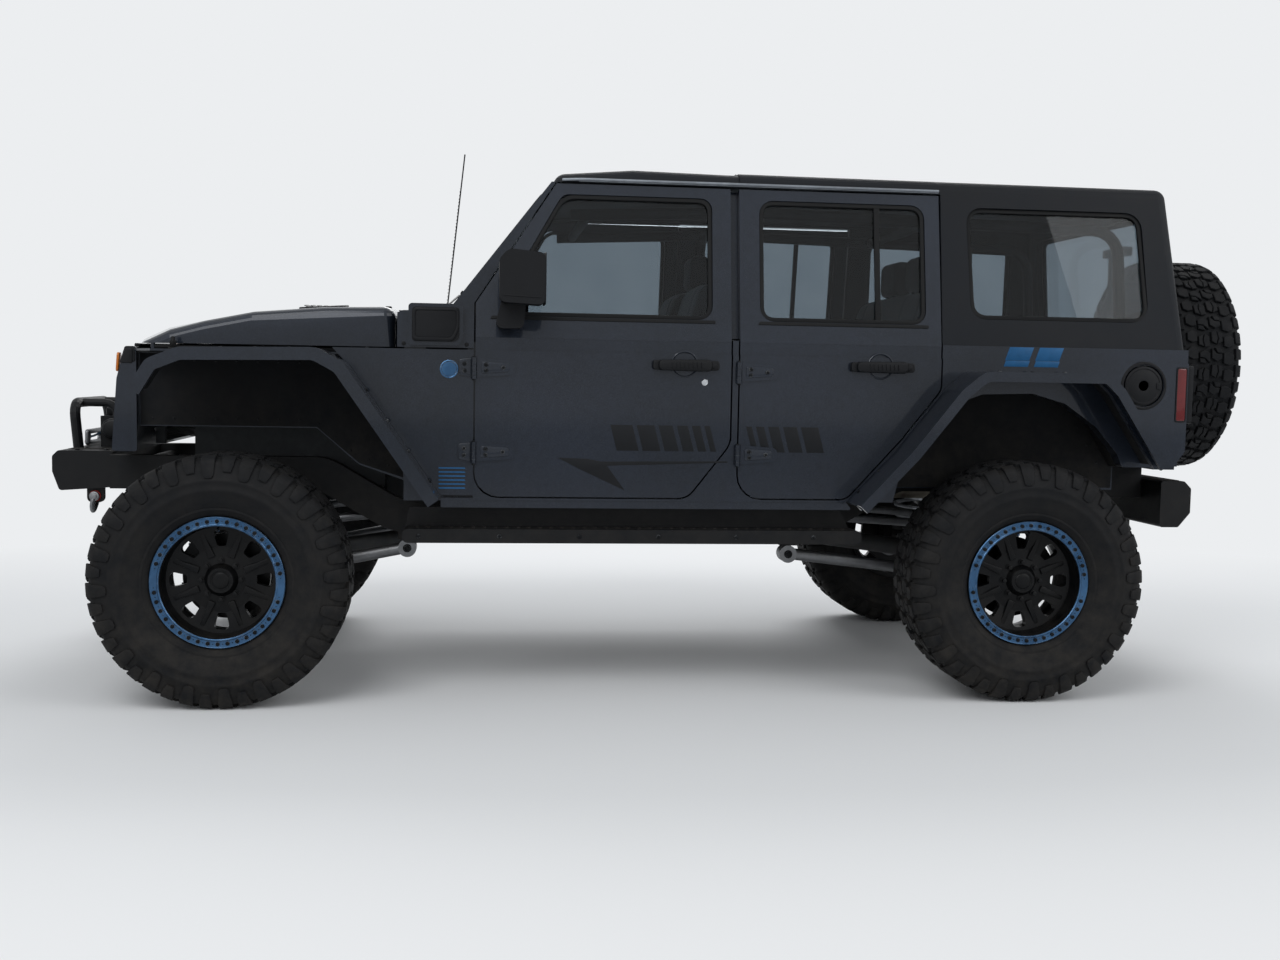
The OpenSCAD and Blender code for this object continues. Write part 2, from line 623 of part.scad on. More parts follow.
module grille() color("#3b424b") car() {
  difference() {
    slab(rounded([[452, 905], [432, 1180], [400, 1298], [360, 1298], [360, 905]],
      [8, 60, 20, 8, 8]), -618, 618);
    // Opening for the mesh, and the lamp bores
    block([340, -330, 970], [500, 330, 1230]);
    both() translate([300, 480, 1120]) rotate([0, 90, 0]) cylinder(h = 220, r = lamp_r + seat_gap);
    block([340, -600, 880], [385, 600, 960]);
  }
  // Slats behind the opening
  for (i = [0 : 4]) block([372, -340, 1000 + i * 46], [396, 340, 1012 + i * 46]);
}

module lamps() color("#c9ced2") car() {
  both() {
    translate([366, 480, 1120]) rotate([0, 90, 0]) cylinder(h = 62, r = lamp_r);
    // Tail lamp at the corner of the tub
    slab(rounded(box_outline(tub_rear_x - 26, 1070, tub_rear_x - seat_gap, 1300), 10),
      body_half - 130, body_half - 6);
  }
}

module windshield_frame() color("#30363e") car() difference() {
  intersection() {
    on_screen() translate([-120, 0, -60]) rotate([90, 0, 90]) linear_extrude(120) polygon(rounded(
      [[-771, -20], [771, -20], [689, screen_len + 60], [-689, screen_len + 60]], [0, 0, 0, 0]));
    // Side profile between the glass plane and the doors
    slab([screen_base + [0, seat_gap], [door1_x0 + gap, cowl_z + seat_gap], [door1_x0 + gap, 1484],
      [header_x + gap + 4, roof_edge_z - seat_gap], [header_x + 26, roof_edge_z - seat_gap]], -800, 800);
  }
  on_screen() translate([-120, 0, 0]) rotate([90, 0, 90]) linear_extrude(140) polygon(screen_opening(0));
}

function screen_opening(g) = inset(rounded([[-684, 70], [684, 70], [622, screen_len - 66],
  [-622, screen_len - 66]], 50), g);

module screen_pane() on_screen() translate([-22, 0, 0]) rotate([90, 0, 90]) linear_extrude(6)
  polygon(screen_opening(0.3));

// Greenhouse: outer form of the roof between two stations
module roof_form(x0, x1, d, r, lean_back, brow = 0) hull() for (s = [-1, 1]) {
  translate([x0, s * (roof_half + 6 - d - r), roof_z - brow - d - r]) sphere(r = r, $fn = 24);
  if (brow > 0) translate([x0 - 260, s * (roof_half + 6 - d - r), roof_z - d - r]) sphere(r = r, $fn = 24);
  translate([x1 + r + d, s * (roof_half + 2 - d - r), roof_z - 6 - d - r]) sphere(r = r, $fn = 24);
  translate([x0, s * 380, roof_z + 14 - brow - d - r]) sphere(r = r, $fn = 24);
  translate([x1 + r + d + 10, s * 380, roof_z + 4 - d - r]) sphere(r = r, $fn = 24);
  translate([x0, s * (shoulder_half - d - 10), belt_z - 40]) cylinder(h = 10, r = 10, $fn = 24);
  translate([x1 - lean_back + 36 + d, s * (shoulder_half - d - 36),
    belt_z - 40]) cylinder(h = 10, r = 36, $fn = 24);
}

quarter_window = rounded([[-3552, up_lean(1466)], [-2822, up_lean(1466)], [-2808, up_lean(1902)],
  [-3530, up_lean(1902)]], [70, 60, 60, 70]);

module hardtop() color("#15171a") car() difference() {
  roof_form(roof_seam_x, tub_rear_x + 62, 0, 46, 60);
  roof_form(roof_seam_x + 60, tub_rear_x + 62, 42, 20, 60);
  block([-4000, -1000, 1200], [-1500, 1000, belt_z + seat_gap]);
  // Room for the doors
  block([door2_x1 - gap, -1000, 1300], [-1500, 1000, roof_edge_z]);
  block([roof_seam_x, -1000, 1200], [-1500, 1000, 2100]);
  both() leaning() slab(quarter_window, -80, 20);
  on_rear() translate([-60, 0, 0]) rotate([90, 0, 90]) linear_extrude(180) polygon(rear_window);
}

// Local frame of the rear glass: Y across, Z up it, X inwards
module on_rear() translate([tub_rear_x, 0, belt_z]) rotate([0, rear_tilt, 0]) children();
rear_window = rounded([[-575, 26], [575, 26], [548, 552], [-548, 552]], 50);

module roof_panels() color("#15171a") car() for (s = [-1, 1]) difference() {
  roof_form(header_x - 28, roof_seam_x - 60, 0, 46, 0, 22);
  roof_form(header_x + 10, roof_seam_x - 120, 34, 20, 0, 22);
  block([-3000, -1000, 1200], [-1100, 1000, roof_edge_z]);
  block([-3000, -1000, 1900], [roof_seam_x + seat_gap, 1000, 2100]);
  block([-2200, s > 0 ? -1000 : -3, 1900], [-1000, s > 0 ? 3 : 1000, 2100]);
}

module fixed_glass() color([0.05, 0.06, 0.08, 0.6]) car() {
  screen_pane();
  both() leaning() slab(inset(quarter_window, seat_gap), -20, -14);
  on_rear() translate([10, 0, 0]) rotate([90, 0, 90]) linear_extrude(6)
    polygon(inset(rear_window, seat_gap));
}

// ---- Doors ----

door1_low = rounded([[door1_x1, belt_z], [door1_x1, 968], [-1712, door_z], [door1_x0, door_z],
  [door1_x0, belt_z]], [0, 90, 70, 90, 0]);
door2_low = rounded([[door2_x1, belt_z], [door2_x1, 1188], [-2545, 992], [-2334, door_z],
  [door2_x0, door_z], [door2_x0, belt_z]], [0, 60, 20, 60, 90, 0]);
door1_top = [[door1_x0, -6], [door1_x0, up_lean(1484)], [-1206, up_lean(door_top_z)],
  [door1_x1, up_lean(door_top_z)], [door1_x1, -6]];
door2_top = [[door2_x0, -6], [door2_x0, up_lean(door_top_z)], [door2_x1, up_lean(door_top_z)],
  [door2_x1, -6]];
window1 = rounded([[-1802, up_lean(1438)], [-962, up_lean(1438)], [-1228, up_lean(1905)],
  [-1802, up_lean(1905)]], [55, 60, 45, 45]);
window2 = rounded([[-2641, up_lean(1438)], [-1985, up_lean(1438)], [-1985, up_lean(1905)],
  [-2641, up_lean(1905)]], 55);

module hinge_leaf(x, z) {
  translate([x + hinge_dx, hinge_y, z - 40]) cylinder(h = 80, r = hinge_r);
  slab(rounded([[x + hinge_dx, z - 34], [x - 150, z - 22], [x - 150, z + 30],
    [x + hinge_dx, z + 40]], [4, 22, 22, 4]),
    body_half - 1, body_half + 8);
}

module door(low, top, window, x0) {
  intersection() {
    slab(low, body_half - wall, body_half);
    block([-3000, 0, 0], [0, body_half + 1, seam_z]);
  }
  slab(low, body_half - wall, shoulder_half);
  leaning() difference() {
    slab(top, -frame_t, 0);
    slab(window, -frame_t - 5, 5);
  }
  hinge_leaf(x0, 1240);
  hinge_leaf(x0, 925);
}

module glass1() leaning() slab(inset(window1, 0.4), pane_y, pane_y + glass_t);
module glass2() leaning() slab(inset(window2, 0.4), pane_y, pane_y + glass_t);

module mirror_body() {
  slab(rounded([[-990, 1478], [-1150, 1470], [-1150, 1656], [-1020, 1668], [-988, 1630]],
    [24, 16, 20, 40, 30]), 880, 1016);
  difference() {
    slab(rounded([[-975, 1388], [-1080, 1388], [-1090, 1500], [-1000, 1500]], 22), 740, 900);
    leaning() block([-1300, -200, -100], [-900, seat_gap, 400]);
  }
}

// ---- Tail ----

module tailgate() color("#3b424b") car() {
  difference() {
    translate([tub_rear_x - 16, 0, 0]) rotate([90, 0, 90]) linear_extrude(gate_t + 16)
      polygon(rounded(box_outline(-gate_half, cargo_z - 19 + gap, gate_half, belt_z - gap), 30));
    block([tub_rear_x + 20, -gate_half + 70, 980], [tub_rear_x + 80, gate_half - 70, belt_z - 60]);
  }
  for (z = gate_hinge_z) {
    translate([gate_pivot[0], gate_pivot[1], z - 45]) cylinder(h = 90, r = gate_hinge_r);
    block([tub_rear_x - 30, gate_pivot[1], z - 35], [tub_rear_x - 15, -gate_half + 200, z + 35]);
  }
}

module tyre_carrier() color("#131415") car() {
  back = tub_rear_x - 16 - seat_gap;
  block([back - 44, -360, 1000], [back, 360, 1060]);
  block([back - 44, -360, 1240], [back, 360, 1300]);
  block([back - 44, -90, 1001], [back - 22, 90, 1400]);
  translate([spare_x - hub_pad + seat_gap, 0, spare_z]) rotate([0, 90, 0])
    cylinder(h = back - 30 - spare_x + hub_pad, r = 68);
  // Stalk of the high brake lamp
  block([back - 40, -45, 1399], [back - 26, 45, 1800]);
  slab(rounded(box_outline(back - 70, 1792, back - 20, 1832), 8), -95, 95);
}

module front_bumper() color("#131415") car() {
  slab(rounded([[500, 752], [698, 738], [724, 812], [724, 872], [702, 894], [500, 894]],
    [6, 14, 14, 14, 14, 6]), -430, 430);
  both() {
    // Shackle tabs under the bumper
    difference() {
      slab(rounded([[536, 690], [600, 690], [600, 760], [536, 760]], [20, 20, 0, 0]), 386, 410);
      across(568, 716, 380, 420, 12.5);
    }
  }
  // Hoop over the winch with its two braces
  pipe([[672, -250, 880], [690, -250, 1074], [690, 250, 1074], [672, 250, 880]], 60, 20);
  both() pipe([[545, 165, 880], [545, 165, 1074], [690, 165, 1074]], 45, 16);
}

module winch() color("#202226") car() {
  base = 894 + seat_gap;
  across(560, 965, -120, 120, 38);
  both() block([505, 118, base], [615, 146, 1020]);
  block([506, -119, base], [614, 119, base + 12]);
}

module rear_bumper() color("#131415") car() {
  slab(rounded([[-3700, 640], [-3700, 830], [-3800, 830], [-3830, 800], [-3830, 700],
    [-3780, 640]], 12), -640, 640);
  both() difference() {
    slab(rounded([[-3820, 690], [-3820, 760], [-3885, 760], [-3885, 690]], [0, 0, 22, 22]), 386, 410);
    across(-3856, 725, 380, 420, 12.5);
  }
  // Hitch receiver
  difference() {
    block([-3870, -32, 560], [-3660, 32, 624]);
    block([-3900, -25.6, 566.4], [-3700, 25.6, 617.6]);
    across(-3815, 592, -50, 50, 8);
  }
  block([-3720, -32, 620], [-3690, 32, 660]);
}

// ---- Inside ----

module dashboard() color("#1b1c1e") car() {
  slab(rounded([[-690.3, 1150], [-860, 1120], [-960, 1200], [-960, 1340], [-860, 1420],
    [-690.3, 1424]], [0, 30, 40, 40, 40, 0]), -680, 680);
  // Steering column
  axis = [cos(90 - column_tilt), 0, -sin(90 - column_tilt)];
  rod(wheel_hub + axis * (30 + seat_gap), wheel_hub + axis * 220, 34);
}

seat_base = rounded([[-1180, 960], [-1180, 1090], [-1700, 1060], [-1740, 960]], 40);
seat_back = rounded([[-1640, 1050], [-1740, 1000], [-1900, 1560], [-1860, 1600], [-1780, 1580]], 30);

module seat(x, y0, y1, base_z) translate([x, 0, 0]) {
  slab(seat_base, y0, y1);
  slab(seat_back, y0, y1);
  block([-1680, y0 + 60, base_z + seat_gap], [-1310, y1 - 60, 980]);
}

module seats() color("#232427") car() {
  both() seat(0, 110, 610, floor_z);
  seat(-960, -590, 590, cargo_z);
}

module steering_wheel() color("#151617") car() translate(wheel_hub) rotate([0, 90 - column_tilt, 0]) {
  rotate([0, 90, 0]) rotate_extrude() translate([steering_r, 0]) circle(r = 15);
  for (a = [0, 120, 240]) rotate([a, 0, 0]) block([-8, -16, 20], [8, 16, steering_r]);
  rotate([0, 90, 0]) translate([0, 0, -30]) cylinder(h = 60, r = 55);
}

tube_r = 26;
module roll_bar() color("#151617") car() {
  // Main hoop, side bars with their rear legs, and the two cross tubes
  pipe([[-1960, 640, floor_z + 2], [-1960, 596, 1880], [-1960, -596, 1880],
    [-1960, -640, floor_z + 2]], 90, tube_r);
  both() pipe([[-1270, 480, 1850], [-2040, 480, 1884], [-3540, 480, 1850],
    [-3600, 480, cargo_z + 2]], 110, tube_r - 3);
  across(-2760, 1868, -480, 480, tube_r - 6);
  across(-1340, 1853, -480, 480, tube_r - 6);
}

module antenna() color("#1a1b1d") car() {
  rod([-756, -726, cowl_z + 10], [-841, -726, 2256], 3.2);
  translate([-756, -726, cowl_z + seat_gap]) cylinder(h = 40, r1 = 22, r2 = 8);
}

module fuel_flap() color("#101113") car() across(fuel_x, fuel_z, body_half - flap_t, body_half,
  fuel_r + 3 - gap);

module charge_flap() color("#101113") car()
  slab(rounded(box_outline(charge_x1, charge_z0, charge_x0, charge_z1), [24, 12, 12, 12]),
    charge_y - flap_t, charge_y);

// ---- Left and right, front and rear ----

module front_left_door() color("#3b424b") car() door(door1_low, door1_top, window1, door1_x0);
module front_right_door() color("#3b424b") car() on_right() door(door1_low, door1_top, window1, door1_x0);
module rear_left_door() color("#3b424b") car() door(door2_low, door2_top, window2, door2_x0);
module rear_right_door() color("#3b424b") car() on_right() door(door2_low, door2_top, window2, door2_x0);
module front_left_glass() color([0.1, 0.12, 0.14, 0.5]) car() glass1();
module front_right_glass() color([0.1, 0.12, 0.14, 0.5]) car() on_right() glass1();
module rear_left_glass() color([0.1, 0.12, 0.14, 0.5]) car() glass2();
module rear_right_glass() color([0.1, 0.12, 0.14, 0.5]) car() on_right() glass2();
module left_mirror() color("#17181a") car() mirror_body();
module right_mirror() color("#17181a") car() on_right() mirror_body();
module spare_tyre() car() spare_place() tyre();
module spare_rim() car() spare_place() rim();
module front_left_tyre() tyre_at(0, 1);
module front_right_tyre() tyre_at(0, -1);
module rear_left_tyre() tyre_at(rear_x, 1);
module rear_right_tyre() tyre_at(rear_x, -1);
module front_left_rim() rim_at(0, 1);
module front_right_rim() rim_at(0, -1);
module rear_left_rim() rim_at(rear_x, 1);
module rear_right_rim() rim_at(rear_x, -1);

frame();
rock_sliders();
front_axle();
rear_axle();
control_arms();
coil_springs();
shock_absorbers();
driveline();
engine_block();
exhaust();
fuel_tank();
left_knuckle();
right_knuckle();
steering_rods();
pitman_arm();
tub();
front_fenders();
tube_flares();
hood();
grille();
lamps();
windshield_frame();
fixed_glass();
hardtop();
roof_panels();
front_left_door();
front_right_door();
rear_left_door();
rear_right_door();
front_left_glass();
front_right_glass();
rear_left_glass();
rear_right_glass();
left_mirror();
right_mirror();
tailgate();
tyre_carrier();
spare_tyre();
spare_rim();
front_left_tyre();
front_right_tyre();
rear_left_tyre();
rear_right_tyre();
front_left_rim();
front_right_rim();
rear_left_rim();
rear_right_rim();
front_bumper();
winch();
rear_bumper();
dashboard();
seats();
steering_wheel();
roll_bar();
antenna();
fuel_flap();
charge_flap();
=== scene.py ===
"""Looks of the lifted off-road 4x4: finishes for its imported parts, and the detail that the parts carry.

Places are written in millimetres from the front axle, as on the drawing: X forward, Y to the
vehicle's left, Z up from the ground. at() and the makers below turn them into the frame's metres.
"""

import json
import math
from contextlib import contextmanager

import bpy
from mathutils import Matrix, Vector


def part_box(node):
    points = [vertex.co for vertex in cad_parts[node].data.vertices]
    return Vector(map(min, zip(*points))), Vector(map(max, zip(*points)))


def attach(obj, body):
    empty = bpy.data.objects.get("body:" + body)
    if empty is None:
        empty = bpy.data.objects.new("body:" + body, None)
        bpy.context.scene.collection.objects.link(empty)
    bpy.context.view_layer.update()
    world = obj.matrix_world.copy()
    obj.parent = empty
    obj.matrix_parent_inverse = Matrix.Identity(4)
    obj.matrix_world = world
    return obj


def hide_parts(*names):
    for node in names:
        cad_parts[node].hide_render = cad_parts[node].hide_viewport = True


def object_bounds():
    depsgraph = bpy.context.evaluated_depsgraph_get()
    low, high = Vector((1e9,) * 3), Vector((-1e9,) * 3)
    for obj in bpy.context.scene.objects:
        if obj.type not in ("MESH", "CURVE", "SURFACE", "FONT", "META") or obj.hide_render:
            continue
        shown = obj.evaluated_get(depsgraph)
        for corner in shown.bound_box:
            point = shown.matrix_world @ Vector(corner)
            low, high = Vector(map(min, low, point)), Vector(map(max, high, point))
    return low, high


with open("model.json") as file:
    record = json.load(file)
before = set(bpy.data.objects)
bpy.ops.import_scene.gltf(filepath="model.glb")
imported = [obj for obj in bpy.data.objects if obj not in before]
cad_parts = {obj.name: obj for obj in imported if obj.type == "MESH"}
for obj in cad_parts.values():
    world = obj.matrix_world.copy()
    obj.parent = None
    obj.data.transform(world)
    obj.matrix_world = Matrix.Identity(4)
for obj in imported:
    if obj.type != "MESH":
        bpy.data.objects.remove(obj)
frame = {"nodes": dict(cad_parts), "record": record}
cad_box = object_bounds()
nodes = frame["nodes"]

MM = 0.001
LEFT, RIGHT = 1, -1
SIDES = (LEFT, RIGHT)
HANDS = ((LEFT, "left"), (RIGHT, "right"))
UP = Vector((0, 0, 1))

# Places on the vehicle, in millimetres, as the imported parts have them
AXLE_Z = 460
WHEEL_Y = 857
REAR_X = -3008
SPARE_X = -3990
SPARE_Z = 1314
TYRE_R = 460
BODY_Y = 795
SHOULDER_Y = 787
ROOF_HALF = 688
BELT_Z = 1362
DOOR_TOP_Z = 1945
TUB_REAR_X = -3712
TILT = math.atan((SHOULDER_Y - ROOF_HALF) / (DOOR_TOP_Z - BELT_Z))
SCREEN_BASE = (-800, 1451)
SCREEN_TOP = (-1189, 1960)
SCREEN_RAKE = math.atan((SCREEN_BASE[0] - SCREEN_TOP[0]) / (SCREEN_TOP[1] - SCREEN_BASE[1]))

tyre_low, tyre_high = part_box("front_left_tyre")
AXLE_X = (tyre_low.x + tyre_high.x) / 2


def at(x, y, z):
    """A place on the drawing, in the frame's metres."""
    return Vector((AXLE_X + x * MM, y * MM, z * MM))


# ---- Camera ----

eye = bpy.data.cameras.new("camera")
eye.lens = 38.86
camera = bpy.data.objects.new("camera", eye)
camera.location = at(-925.7, 6003.5, 1228.4)
camera.rotation_euler = [math.radians(angle) for angle in (85.622, -1.028, 173.450)]
bpy.context.scene.collection.objects.link(camera)
bpy.context.scene.camera = camera
bpy.context.scene.view_settings.view_transform = "Standard"


# ---- Makers ----

def only(*pieces):
    """Selects these pieces alone, and makes the first one active."""
    bpy.ops.object.select_all(action="DESELECT")
    for piece in pieces:
        piece.select_set(True)
    bpy.context.view_layer.objects.active = pieces[0]
    return pieces[0]


@contextmanager
def editing(piece, kind="FACE"):
    """Edit mode on one piece, with nothing selected."""
    only(piece)
    bpy.ops.object.mode_set(mode="EDIT")
    bpy.ops.mesh.select_mode(type=kind)
    bpy.ops.mesh.select_all(action="DESELECT")
    yield
    bpy.ops.object.mode_set(mode="OBJECT")


def named(name):
    """The piece that a primitive has just made, with its place in its mesh."""
    piece = bpy.context.active_object
    piece.name = piece.data.name = name
    only(piece)
    bpy.ops.object.transform_apply(location=True, rotation=True, scale=True)
    return piece


def modified(piece, kind, **settings):
    """The piece with one modifier applied."""
    only(piece)
    change = piece.modifiers.new(kind.lower(), kind)
    for key, value in settings.items():
        setattr(change, key, value)
    bpy.ops.object.modifier_apply(modifier=change.name)
    return piece


def tidied(piece):
    """The piece with its doubles merged and its faces pointing outwards."""
    with editing(piece):
        bpy.ops.mesh.select_all(action="SELECT")
        bpy.ops.mesh.remove_doubles(threshold=1e-5)
        bpy.ops.mesh.normals_make_consistent(inside=False)
    return piece


def joined(name, *pieces):
    """Several pieces as one."""
    piece = only(*pieces)
    if len(pieces) > 1:
        bpy.ops.object.join()
    piece.name = piece.data.name = name
    return piece


def moved(piece, matrix):
    """The piece with its place in its mesh changed by a matrix."""
    only(piece)
    piece.matrix_world = matrix
    bpy.ops.object.transform_apply(location=True, rotation=True, scale=True)
    return tidied(piece) if matrix.determinant() < 0 else piece


def copied(piece, matrix=None):
    """A copy with its own mesh, set elsewhere by a matrix."""
    only(piece)
    bpy.ops.object.duplicate(linked=False)
    twin = bpy.context.active_object
    return moved(twin, matrix) if matrix else twin


ACROSS = Matrix.Scale(-1, 4, (0, 1, 0))


def turned(centre, axis, angle):
    """A turn about a line through centre, in degrees."""
    turn = Matrix.Rotation(math.radians(angle), 4, axis)
    return Matrix.Translation(centre) @ turn @ Matrix.Translation(-centre)


def ring_of(name, piece, centre, axis, count, start=0, skip=()):
    """The piece repeated evenly round an axis."""
    round_it = [copied(piece, turned(centre, axis, start + i * 360 / count)) for i in range(count)
        if i not in skip]
    bpy.data.objects.remove(piece)
    return joined(name, *round_it)


def row_of(name, piece, step, count):
    """The piece repeated along a straight row, the step between two in millimetres."""
    row = [copied(piece, Matrix.Translation(Vector(step) * MM * i)) for i in range(1, count)]
    return joined(name, piece, *row)


def bevelled(piece, width, steps=2, sharp=30):
    """The piece with its sharp edges rounded, the width in millimetres."""
    return modified(piece, "BEVEL", width=width * MM, segments=steps, limit_method="ANGLE",
                    angle_limit=math.radians(sharp), harden_normals=False)


def block(name, low, high, edge=3, steps=2):
    """A box between two corners with rounded edges."""
    low, high = at(*low), at(*high)
    bpy.ops.mesh.primitive_cube_add(size=1, location=(low + high) / 2, scale=high - low)
    piece = named(name)
    return bevelled(piece, edge, steps) if edge else piece


def drum(name, centre, axis, radius, length, edge=1.5, sides=32, far_radius=None):
    """A round bar, boss or cone along an axis, centred on its middle."""
    turn = UP.rotation_difference(Vector(axis)).to_euler()
    radii = dict(radius1=radius * MM, radius2=(radius if far_radius is None else far_radius) * MM)
    bpy.ops.mesh.primitive_cone_add(vertices=sides, depth=length * MM, location=at(*centre),
        rotation=turn, **radii)
    piece = named(name)
    return bevelled(piece, edge) if edge else piece


def ball(name, centre, radii, sides=24):
    """A ball, or an ellipsoid with three radii."""
    bpy.ops.mesh.primitive_uv_sphere_add(segments=sides, ring_count=sides // 2, radius=1,
        location=at(*centre), scale=Vector(radii) * MM)
    return named(name)


def hoop(name, centre, axis, radius, wire, sides=48, round_sides=10):
    """A ring of round wire."""
    turn = UP.rotation_difference(Vector(axis)).to_euler()
    bpy.ops.mesh.primitive_torus_add(location=at(*centre), rotation=turn, major_radius=radius * MM,
        minor_radius=wire * MM, major_segments=sides, minor_segments=round_sides)
    return named(name)


def drawn(name, lines, closed, **settings):
    """Lines drawn as a curve in metres, made a mesh."""
    curve = bpy.data.curves.new(name, "CURVE")
    for key, value in settings.items():
        setattr(curve, key, value)
    for points in lines:
        line = curve.splines.new("POLY")
        line.points.add(len(points) - 1)
        for spot, point in zip(line.points, points):
            spot.co = (*point, 1)
        line.use_cyclic_u = closed
    piece = bpy.data.objects.new(name, curve)
    bpy.context.scene.collection.objects.link(piece)
    only(piece)
    bpy.ops.object.convert(target="MESH")
    piece = bpy.context.active_object
    piece.name = piece.data.name = name
    return piece


# How a flat outline lies: its first and second directions, and the way its thickness runs
# SIDE_ON: outline in X and Z, thickness along Y
SIDE_ON = Matrix(((1, 0, 0, 0), (0, 0, 1, 0), (0, 1, 0, 0), (0, 0, 0, 1)))
# END_ON: outline in Y and Z, thickness along X
END_ON = Matrix(((0, 0, 1, 0), (1, 0, 0, 0), (0, 1, 0, 0), (0, 0, 0, 1)))
# FLAT: outline in X and Y, thickness along Z
FLAT = Matrix.Identity(4)


def rounded(points, radius, steps=4):
    """A closed outline with its corners rounded."""
    made = []
    for i, spot in enumerate(points):
        here, before, after = Vector(spot), Vector(points[i - 1]), Vector(points[(i + 1) % len(points)])
        a, b = (before - here), (after - here)
        reach = min(radius, a.length * 0.49, b.length * 0.49)
        start, end = here + a.normalized() * reach, here + b.normalized() * reach
        for k in range(steps + 1):
            t = k / steps
            made.append(start.lerp(here, t).lerp(here.lerp(end, t), t))
    return made


def plate(name, outlines, near, far, lie=SIDE_ON, edge=1.5, place=None):
    """A plate cut to an outline, or to an outline and its holes, between two depths, its rims rounded."""
    if not isinstance(outlines[0][0], (tuple, list, Vector)):
        outlines = [outlines]
    half = (far - near) / 2
    soft = min(edge, half * 0.8)
    flat = [[(u * MM, v * MM, 0) for u, v in outline] for outline in outlines]
    piece = drawn(name, flat, True, dimensions="2D", fill_mode="BOTH", extrude=(half - soft) * MM,
        offset=-soft * MM, bevel_depth=soft * MM, bevel_resolution=1)
    lift = Matrix.Translation((0, 0, (near + far) / 2 * MM))
    start = place if place else Matrix.Translation((AXLE_X, 0, 0)) @ lie
    return tidied(moved(piece, start @ lift))


def tube(name, points, radius, sides=3, bend=0, closed=False):
    """A round bar or hose along points in millimetres, with its bends rounded."""
    line = bent(points, bend) if bend else [Vector(point) for point in points]
    piece = drawn(name, [[at(*point) for point in line]], closed, dimensions="3D", bevel_depth=radius * MM,
                  bevel_resolution=sides, use_fill_caps=True)
    return tidied(piece)


def bent(points, radius, steps=5):
    """An open path with its bends rounded."""
    points = [Vector(point) for point in points]
    made = [points[0]]
    for before, here, after in zip(points, points[1:], points[2:]):
        a, b = before - here, after - here
        reach = min(radius, a.length * 0.49, b.length * 0.49)
        start, end = here + a.normalized() * reach, here + b.normalized() * reach
        made += [start.lerp(here, k / steps).lerp(here.lerp(end, k / steps), k / steps)
            for k in range(steps + 1)]
    return made + [points[-1]]


def lathe(name, profile, centre, axis=(0, 1, 0), steps=96, closed=True):
    """A turned piece: a profile of (radius, distance along the axis) spun round it."""
    line = [(radius * MM, 0, along * MM) for radius, along in profile]
    piece = drawn(name, [line], closed, dimensions="3D")
    with editing(piece, "VERT"):
        bpy.ops.mesh.select_all(action="SELECT")
        bpy.ops.mesh.spin(steps=steps, angle=math.tau, center=(0, 0, 0), axis=(0, 0, 1))
    turn = UP.rotation_difference(Vector(axis)).to_matrix().to_4x4()
    return tidied(moved(piece, Matrix.Translation(at(*centre)) @ turn))


def dressed(piece, material, body, sharp=35):
    """The finished piece: smooth, with its material, riding on its body."""
    only(piece)
    bpy.ops.object.shade_smooth_by_angle(angle=math.radians(sharp))
    piece.data.materials.clear()
    piece.data.materials.append(material)
    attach(piece, body)
    return piece


# ---- Finishes ----

def node(tree, kind, inputs=None, **settings):
    """One shader node with its settings, its inputs given as values or as other nodes' outputs."""
    made = tree.nodes.new("ShaderNode" + kind)
    for key, value in settings.items():
        setattr(made, key, value)
    for key, value in (inputs or {}).items():
        if isinstance(value, bpy.types.NodeSocket):
            tree.links.new(value, made.inputs[key])
        else:
            made.inputs[key].default_value = value
    return made


def mixed(tree, factor, first, second):
    """Output of a colour mix."""
    mix = node(tree, "Mix", data_type="RGBA")
    for socket, value in ((mix.inputs[0], factor), (mix.inputs[6], first), (mix.inputs[7], second)):
        if isinstance(value, bpy.types.NodeSocket):
            tree.links.new(value, socket)
        else:
            socket.default_value = value
    return mix.outputs[2]


def sums(tree, operation, *values, clamp=False):
    """Output of a math node."""
    made = node(tree, "Math", operation=operation, use_clamp=clamp)
    for socket, value in zip(made.inputs, values):
        if isinstance(value, bpy.types.NodeSocket):
            tree.links.new(value, socket)
        else:
            socket.default_value = value
    return made.outputs[0]


def ranged(tree, value, low, high, to_low=0.0, to_high=1.0):
    """Output of a value carried from one range to another, and held inside it."""
    return node(tree, "MapRange", {0: value, 1: low, 2: high, 3: to_low, 4: to_high}).outputs[0]


def effect(name, inputs, outputs):
    """An empty node group with its sockets. Returns the group, its inputs' sockets and its output node."""
    kinds = {"value": "NodeSocketFloat", "colour": "NodeSocketColor", "vector": "NodeSocketVector"}
    group = bpy.data.node_groups.new(name, "ShaderNodeTree")
    for label, (kind, start) in inputs.items():
        group.interface.new_socket(name=label, in_out="INPUT",
            socket_type=kinds[kind]).default_value = start
    for label, kind in outputs.items():
        group.interface.new_socket(name=label, in_out="OUTPUT", socket_type=kinds[kind])
    return group, group.nodes.new("NodeGroupInput").outputs, group.nodes.new("NodeGroupOutput")


def grain_effect():
    """Moulded, cast or powder-coated grain: a bump from fine noise."""
    group, given, out = effect("fine_grain", {"Scale": ("value", 900.0), "Height": ("value", 0.2),
            "Depth": ("value", 0.001), "Stretch": ("vector", (1, 1, 1))},
        {"Normal": "vector", "Grain": "value"})
    place = node(group, "TexCoord").outputs["Object"]
    place = node(group, "VectorMath", {0: place, 1: given["Stretch"]}, operation="MULTIPLY").outputs[0]
    noise = node(group, "TexNoise", {"Vector": place, "Scale": given["Scale"], "Detail": 3.0,
            "Roughness": 0.6}).outputs["Fac"]
    bump = node(group, "Bump", {"Strength": given["Height"], "Distance": given["Depth"],
            "Height": noise}).outputs[0]
    group.links.new(bump, out.inputs["Normal"])
    group.links.new(noise, out.inputs["Grain"])
    return group


